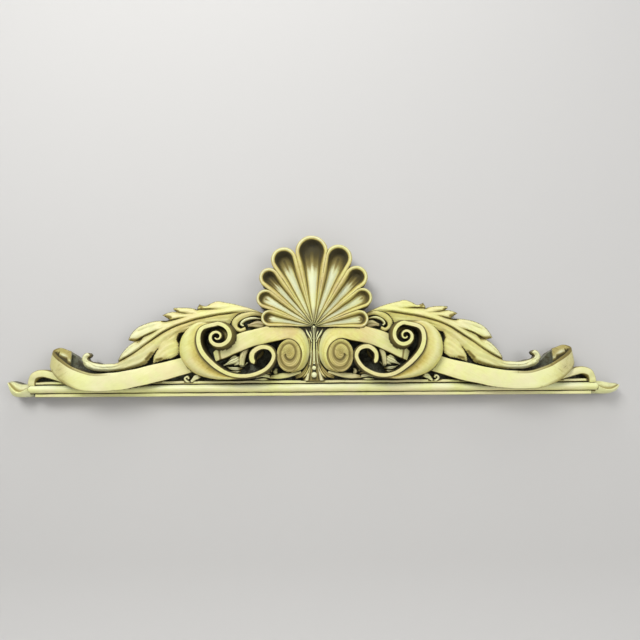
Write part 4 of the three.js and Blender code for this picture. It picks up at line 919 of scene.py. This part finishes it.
cup_sections = np.array([
    # x, top, rim, low, share of the depth
    (65.6, 1.0, 0.5, -2.1, 0.68), (66.6, 0.9, -0.3, -2.2, 0.86), (68.0, 0.7, -1.15, -2.2, 1),
    (69.4, 0.6, -1.05, -2.15, 0.97), (70.6, 0.65, -0.4, -1.85, 0.9), (71.4, 0.72, 0.15, -1.3, 0.8),
    (71.8, 0.75, 0.4, -0.7, 0.72), (72.0, 0.6, 0.35, -0.1, 0.66),
])
cups, _ = curve(cup_sections, CUP_STEPS)
for side, rise in ((-1, 0.8), (1, -0.5)):
    rows, tones = [], []
    for x, top_z, rim_z, low_z, deep in cups:
        lift = rise * smooth(x, 67.5, 71.7)
        low_z = max(low_z + lift * smooth(x, 70.5, 72), RAIL_BOTTOM) - lift
        front = TERMINAL_DEPTH * deep
        # the dirt of each point below includes painted shade under the turned-over rim
        shape = [  # height, share of the depth, and dirt
            (low_z, 0.62, 0.2), (mix(low_z, rim_z, 0.2), 0.78, 0.1), (mix(low_z, rim_z, 0.5), 0.9, 0.05),
            (mix(low_z, rim_z, 0.8), 0.98, 0), (rim_z, 1, 0), (mix(rim_z, top_z, 0.08), 0.96, 0.1),
            (mix(rim_z, top_z, 0.16), 0.84, 0.4), (mix(rim_z, top_z, 0.32), 0.72, 0.3),
            (mix(rim_z, top_z, 0.6), 0.66, 0.1), (mix(rim_z, top_z, 0.85), 0.66, 0), (top_z, 0.66, 0.1),
        ]
        rows.append([(min(x, CUP_END), z + lift, front * level) for z, level, _ in shape])
        tones.append([
            paint((), dirt_and_shade, 0.2 + 0.3 * (dirt_and_shade > 0.35), 0.8 * (dirt_and_shade < 0.35)) for _, _, dirt_and_shade in shape
        ])
    relief("cup", rows, tones, sides=(side,))


# The carving as one piece
# All forms are joined into one closed body, as they are one piece of wood, and its surface is left with the
# slight unevenness of hand work. The front is gilded and aged, and the back is bare, weathered softwood.
UNEVEN = 0.0002
piece = carving.objects["fillets0"]
carving.objects.unlink(piece)
piece.name = piece.data.name = "headpiece_carving"
bpy.context.scene.collection.objects.link(piece)
join = piece.modifiers.new("join", "BOOLEAN")
join.operation, join.solver, join.operand_type, join.collection = "UNION", "MANIFOLD", "COLLECTION", carving
joined = bpy.data.meshes.new_from_object(piece.evaluated_get(bpy.context.evaluated_depsgraph_get()))
piece.modifiers.clear()
piece.data = joined
for form in list(carving.objects):
    bpy.data.objects.remove(form)

work = bmesh.new()
work.from_mesh(joined)
bmesh.ops.remove_doubles(work, verts=work.verts, dist=2e-5)
bmesh.ops.dissolve_degenerate(work, edges=work.edges, dist=1e-6)
for v in work.verts:
    v.co.y = min(v.co.y, 0)
bmesh.ops.triangulate(work, faces=[f for f in work.faces if len(f.verts) > 4])
work.to_mesh(joined)
work.free()
joined.validate()
spots = np.zeros(len(joined.vertices) * 3)
joined.vertices.foreach_get("co", spots)
spots = spots.reshape(-1, 3)
x, y, z = spots.T
loose = smooth(-y, 0.012, 0.03)
spots[:, 1] += loose * UNEVEN * (np.sin(x * 190 + 3 * np.sin(z * 90)) + np.sin(z * 230 + 2 * np.sin(x * 70)))
spots[:, 2] += loose * smooth(np.abs(z + 0.022), 0.002, 0.01) * UNEVEN * np.sin(x * 120 + z * 60)
joined.vertices.foreach_set("co", np.clip(spots, cad_box[0], cad_box[1]).ravel())
joined.polygons.foreach_set("use_smooth", [True] * len(joined.polygons))
joined.set_sharp_from_angle(angle=math.radians(42))


def new_material(name):
    """A material, the nodes and links of its tree, and its main shader."""
    made = bpy.data.materials.new(name)
    made.use_nodes = True
    tree = made.node_tree
    return made, tree.nodes, tree.links, tree.nodes["Principled BSDF"]


def node(kind, **values):
    """A node with its inputs set by name or number, and its settings by name."""
    made = nodes.new(kind)
    for key, value in values.items():
        if key.startswith("in_"):
            which = key[3:]
            socket = made.inputs[int(which) if which.isdigit() else which.replace("_", " ")]
            if isinstance(value, bpy.types.NodeSocket):
                links.new(value, socket)
            else:
                socket.default_value = value
        else:
            setattr(made, key, value)
    return made


def plus(a, b, clamp=True):
    return node("ShaderNodeMath", operation="ADD", use_clamp=clamp, in_0=a, in_1=b).outputs[0]


def times(a, b):
    return node("ShaderNodeMath", operation="MULTIPLY", use_clamp=True, in_0=a, in_1=b).outputs[0]


def blend(share, a, b):
    return node("ShaderNodeMix", data_type="RGBA", in_0=share, in_6=a, in_7=b).outputs[2]


def band_of(value, start, end, low=0.0, high=1.0):
    """A smooth step from low at the start to high at the end."""
    return node("ShaderNodeMapRange", interpolation_type="SMOOTHSTEP", in_Value=value, in_From_Min=start,
                in_From_Max=end, in_To_Min=low, in_To_Max=high).outputs[0]


def noise(place, scale, detail, roughness=0.5, distortion=0.0):
    return node("ShaderNodeTexNoise", in_Vector=place, in_Scale=scale, in_Detail=detail,
                in_Roughness=roughness, in_Distortion=distortion).outputs[0]


def stretched(place, scale):
    return node("ShaderNodeMapping", in_Vector=place, in_Scale=scale).outputs[0]


gilding, nodes, links, shader = new_material("aged_cream_and_gold")
place = node("ShaderNodeTexCoord").outputs["Object"]
coats = node("ShaderNodeAttribute", attribute_name="coats")
grime_and_shade, gold, chalk_and_highlight = node("ShaderNodeSeparateColor", in_0=coats.outputs["Color"]).outputs
rose = coats.outputs["Alpha"]
patches = noise(place, 14.0, 4.0, 0.6)
flecks = noise(place, 120.0, 5.0, 0.65)
mottle = noise(place, 38.0, 5.0, 0.7)
dust = noise(place, 85.0, 3.0, 0.7)
level_strokes = noise(stretched(place, (30.0, 120.0, 260.0)), 1.0, 4.0, 0.6)
# above the rail the brush and the gouge followed the leaves, which fall outwards on both hands
spot = node("ShaderNodeSeparateXYZ", in_0=place).outputs
outwards = node("ShaderNodeMath", operation="ABSOLUTE", in_0=spot[0]).outputs[0]
mirrored = node("ShaderNodeCombineXYZ", in_0=outwards, in_1=spot[1], in_2=spot[2]).outputs[0]
leant = node("ShaderNodeMapping", in_Vector=mirrored, in_Rotation=(0, -0.52, 0)).outputs[0]
leant_strokes = noise(stretched(leant, (32.0, 120.0, 300.0)), 1.0, 4.0, 0.6)
above_rail = band_of(spot[2], 0.004, 0.012)
strokes = node("ShaderNodeMix", in_0=above_rail, in_2=level_strokes, in_3=leant_strokes).outputs[0]
# painted shade: ambient occlusion darkens the colour in the hollows
hollow = band_of(node("ShaderNodeAmbientOcclusion", samples=8, in_Distance=0.014).outputs["AO"], 0.6, 0.1)
sunk = band_of(spot[1], -0.034, -0.018)

cream = blend(band_of(patches, 0.38, 0.64), (0.81, 0.82, 0.27, 1), (0.82, 0.69, 0.30, 1))
cream = blend(band_of(mottle, 0.48, 0.68, 0, 0.6), cream, (0.72, 0.73, 0.22, 1))
cream = blend(band_of(strokes, 0.45, 0.75, 0, 0.5), cream, (0.88, 0.84, 0.42, 1))
cream = blend(band_of(strokes, 0.47, 0.25, 0, 0.45), cream, (0.66, 0.56, 0.17, 1))
# the chalk coat brings pale paint and painted highlight
pale_and_highlit = blend(times(chalk_and_highlight, band_of(patches, 0.3, 0.6, 0.45, 0.95)), cream, (0.87, 0.93, 0.62, 1))
washed = blend(times(gold, band_of(flecks, 0.25, 0.7, 0.95, 0.55)), pale_and_highlit, (0.56, 0.44, 0.085, 1))
worn = blend(times(rose, band_of(patches, 0.4, 0.62, 0.15, 0.75)), washed, (0.50, 0.37, 0.18, 1))
# dirt and painted shade: the coats' grime and shade, the occlusion shade in the hollows, and flecks, mottle
# and strokes of dirt brown and darken the colour
dirt_and_shade = plus(grime_and_shade, times(hollow, band_of(flecks, 0.3, 0.7, 0.3, 0.6)))
dirt_and_shade = plus(dirt_and_shade, times(band_of(flecks, 0.6, 0.78), 0.16))
dirt_and_shade = plus(dirt_and_shade, times(band_of(mottle, 0.56, 0.74), 0.1))
dirt_and_shade = plus(dirt_and_shade, times(band_of(strokes, 0.42, 0.24), band_of(gold, 0.05, 0.6, 0.03, 0.15)))
tan = blend(band_of(dirt_and_shade, 0.08, 0.45), worn, (0.265, 0.21, 0.052, 1))
brown = blend(band_of(dirt_and_shade, 0.38, 0.8), tan, (0.095, 0.075, 0.022, 1))
dark = blend(band_of(dirt_and_shade, 0.72, 1.0, 0, 0.9), brown, (0.048, 0.048, 0.034, 1))
dusty = blend(times(band_of(dust, 0.38, 0.62), times(sunk, 0.75)), dark, (0.19, 0.205, 0.14, 1))
final = blend(times(band_of(flecks, 0.6, 0.72), times(sunk, 0.5)), dusty, (0.34, 0.32, 0.24, 1))
links.new(final, shader.inputs["Base Color"])
links.new(band_of(plus(dirt_and_shade, times(flecks, 0.25)), 0.1, 1.0, 0.42, 0.85), shader.inputs["Roughness"])
shader.inputs["Specular IOR Level"].default_value = 0.42
fine = node("ShaderNodeBump", in_Strength=0.22, in_Distance=0.0006, in_Height=strokes).outputs[0]
grit = plus(times(flecks, band_of(dirt_and_shade, 0.2, 0.9, 0.25, 1.0)), times(patches, 0.6), clamp=False)
coarse = node("ShaderNodeBump", in_Strength=0.35, in_Distance=0.0012, in_Height=grit, in_Normal=fine)
links.new(coarse.outputs[0], shader.inputs["Normal"])

bare, nodes, links, shader = new_material("bare_back")
place = node("ShaderNodeTexCoord").outputs["Object"]
grain = noise(stretched(place, (4.0, 60.0, 90.0)), 1.0, 6.0, 0.65, 0.6)
wood = blend(band_of(grain, 0.35, 0.7), (0.23, 0.14, 0.07, 1), (0.36, 0.24, 0.13, 1))
wood = blend(band_of(noise(place, 5.0, 3.0), 0.4, 0.7, 0, 0.5), wood, (0.12, 0.08, 0.045, 1))
links.new(wood, shader.inputs["Base Color"])
shader.inputs["Roughness"].default_value = 0.82
saw = node("ShaderNodeBump", in_Strength=0.4, in_Distance=0.0008, in_Height=grain).outputs[0]
links.new(saw, shader.inputs["Normal"])

joined.materials.clear()
joined.materials.append(gilding)
joined.materials.append(bare)
flat_back = [int(f.normal.y > 0.9 and f.center.y > -0.0005) for f in joined.polygons]
joined.polygons.foreach_set("material_index", flat_back)
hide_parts("carved_headpiece")
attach(piece, "root")


# Studio
# A pale sweep behind and below the piece, broad soft lights, and the camera where the piece was seen from:
# level with the rail, 1.2 m in front of it and looking a little up. Seen from behind, the sweep is clear.
SWEEP_FRONT, SWEEP_FLOOR = -3.2, -0.72
SWEEP_WALL, SWEEP_TOP = 0.002, 2.6
SWEEP_BEND, SWEEP_HALF = 0.32, 3.5
SENSOR, FOCAL = 36, 27
DISTANCE, EYE_X, EYE_Z = 1.1693, 0.01696, 0.02233
TILT, ROLL = 0.116967, 0.00648139
profile = [(SWEEP_FRONT, SWEEP_FLOOR)]
for a in np.linspace(0, math.pi / 2, 14):
    along = -SWEEP_BEND + (SWEEP_BEND + SWEEP_WALL) * math.sin(a)
    profile.append((along, SWEEP_FLOOR + SWEEP_BEND - SWEEP_BEND * math.cos(a)))
profile.append((SWEEP_WALL, SWEEP_TOP))
corners = [(x, y, z) for y, z in profile for x in (-SWEEP_HALF, SWEEP_HALF)]
mesh = bpy.data.meshes.new("sweep")
mesh.from_pydata(corners, [], [(2 * i, 2 * i + 1, 2 * i + 3, 2 * i + 2) for i in range(len(profile) - 1)])
mesh.polygons.foreach_set("use_smooth", [True] * len(mesh.polygons))
sweep = bpy.data.objects.new("sweep", mesh)
bpy.context.scene.collection.objects.link(sweep)
paper, nodes, links, shader = new_material("pale_paper")
shader.inputs["Base Color"].default_value = (0.60, 0.59, 0.57, 1)
shader.inputs["Roughness"].default_value = 0.9
facing = node("ShaderNodeNewGeometry").outputs["Backfacing"]
clear = node("ShaderNodeBsdfTransparent").outputs[0]
both = node("ShaderNodeMixShader", in_0=facing, in_1=shader.outputs[0], in_2=clear)
links.new(both.outputs[0], nodes["Material Output"].inputs["Surface"])
mesh.materials.append(paper)
sweep.visible_shadow = False

LIGHTS = [  # name, place, what it is aimed at, size, and power
    ("key", (-1.0, -2.1, 1.6), (0, 0, 0.1), 1.3, 44), ("fill", (1.9, -2.3, 0.5), (0, 0, 0.1), 1.8, 20),
    ("top", (0.2, -0.7, 2.3), (0, -0.05, 0.1), 1.6, 13), ("rear", (0.4, 2.6, 1.2), (0, 0, 0.1), 2.0, 40),
]
for name, spot, aim, size, power in LIGHTS:
    lamp = bpy.data.lights.new(name, "AREA")
    lamp.shape, lamp.size, lamp.energy = "DISK", size, power
    holder = bpy.data.objects.new(name, lamp)
    holder.location = spot
    holder.rotation_mode = "QUATERNION"
    holder.rotation_quaternion = (Vector(aim) - Vector(spot)).to_track_quat("-Z", "Y")
    bpy.context.scene.collection.objects.link(holder)
sky = bpy.data.worlds.new("studio")
sky.use_nodes = True
background = sky.node_tree.nodes["Background"]
background.inputs[0].default_value = (0.93, 0.95, 1, 1)
background.inputs[1].default_value = 0.36
bpy.context.scene.world = sky
bpy.context.scene.view_settings.view_transform = "Standard"

ahead = Vector((0, math.cos(TILT), math.sin(TILT)))
upward = Vector((0, -math.sin(TILT), math.cos(TILT)))
right = math.cos(ROLL) * Vector((1, 0, 0)) - math.sin(ROLL) * upward
upward = math.sin(ROLL) * Vector((1, 0, 0)) + math.cos(ROLL) * upward
stand = Matrix((right, upward, -ahead)).transposed().to_4x4()
stand.translation = (EYE_X, -DISTANCE, EYE_Z)
lens = bpy.data.cameras.new("camera")
lens.sensor_width, lens.lens = SENSOR, FOCAL
camera = bpy.data.objects.new("camera", lens)
camera.matrix_world = stand
bpy.context.scene.collection.objects.link(camera)
bpy.context.scene.camera = camera
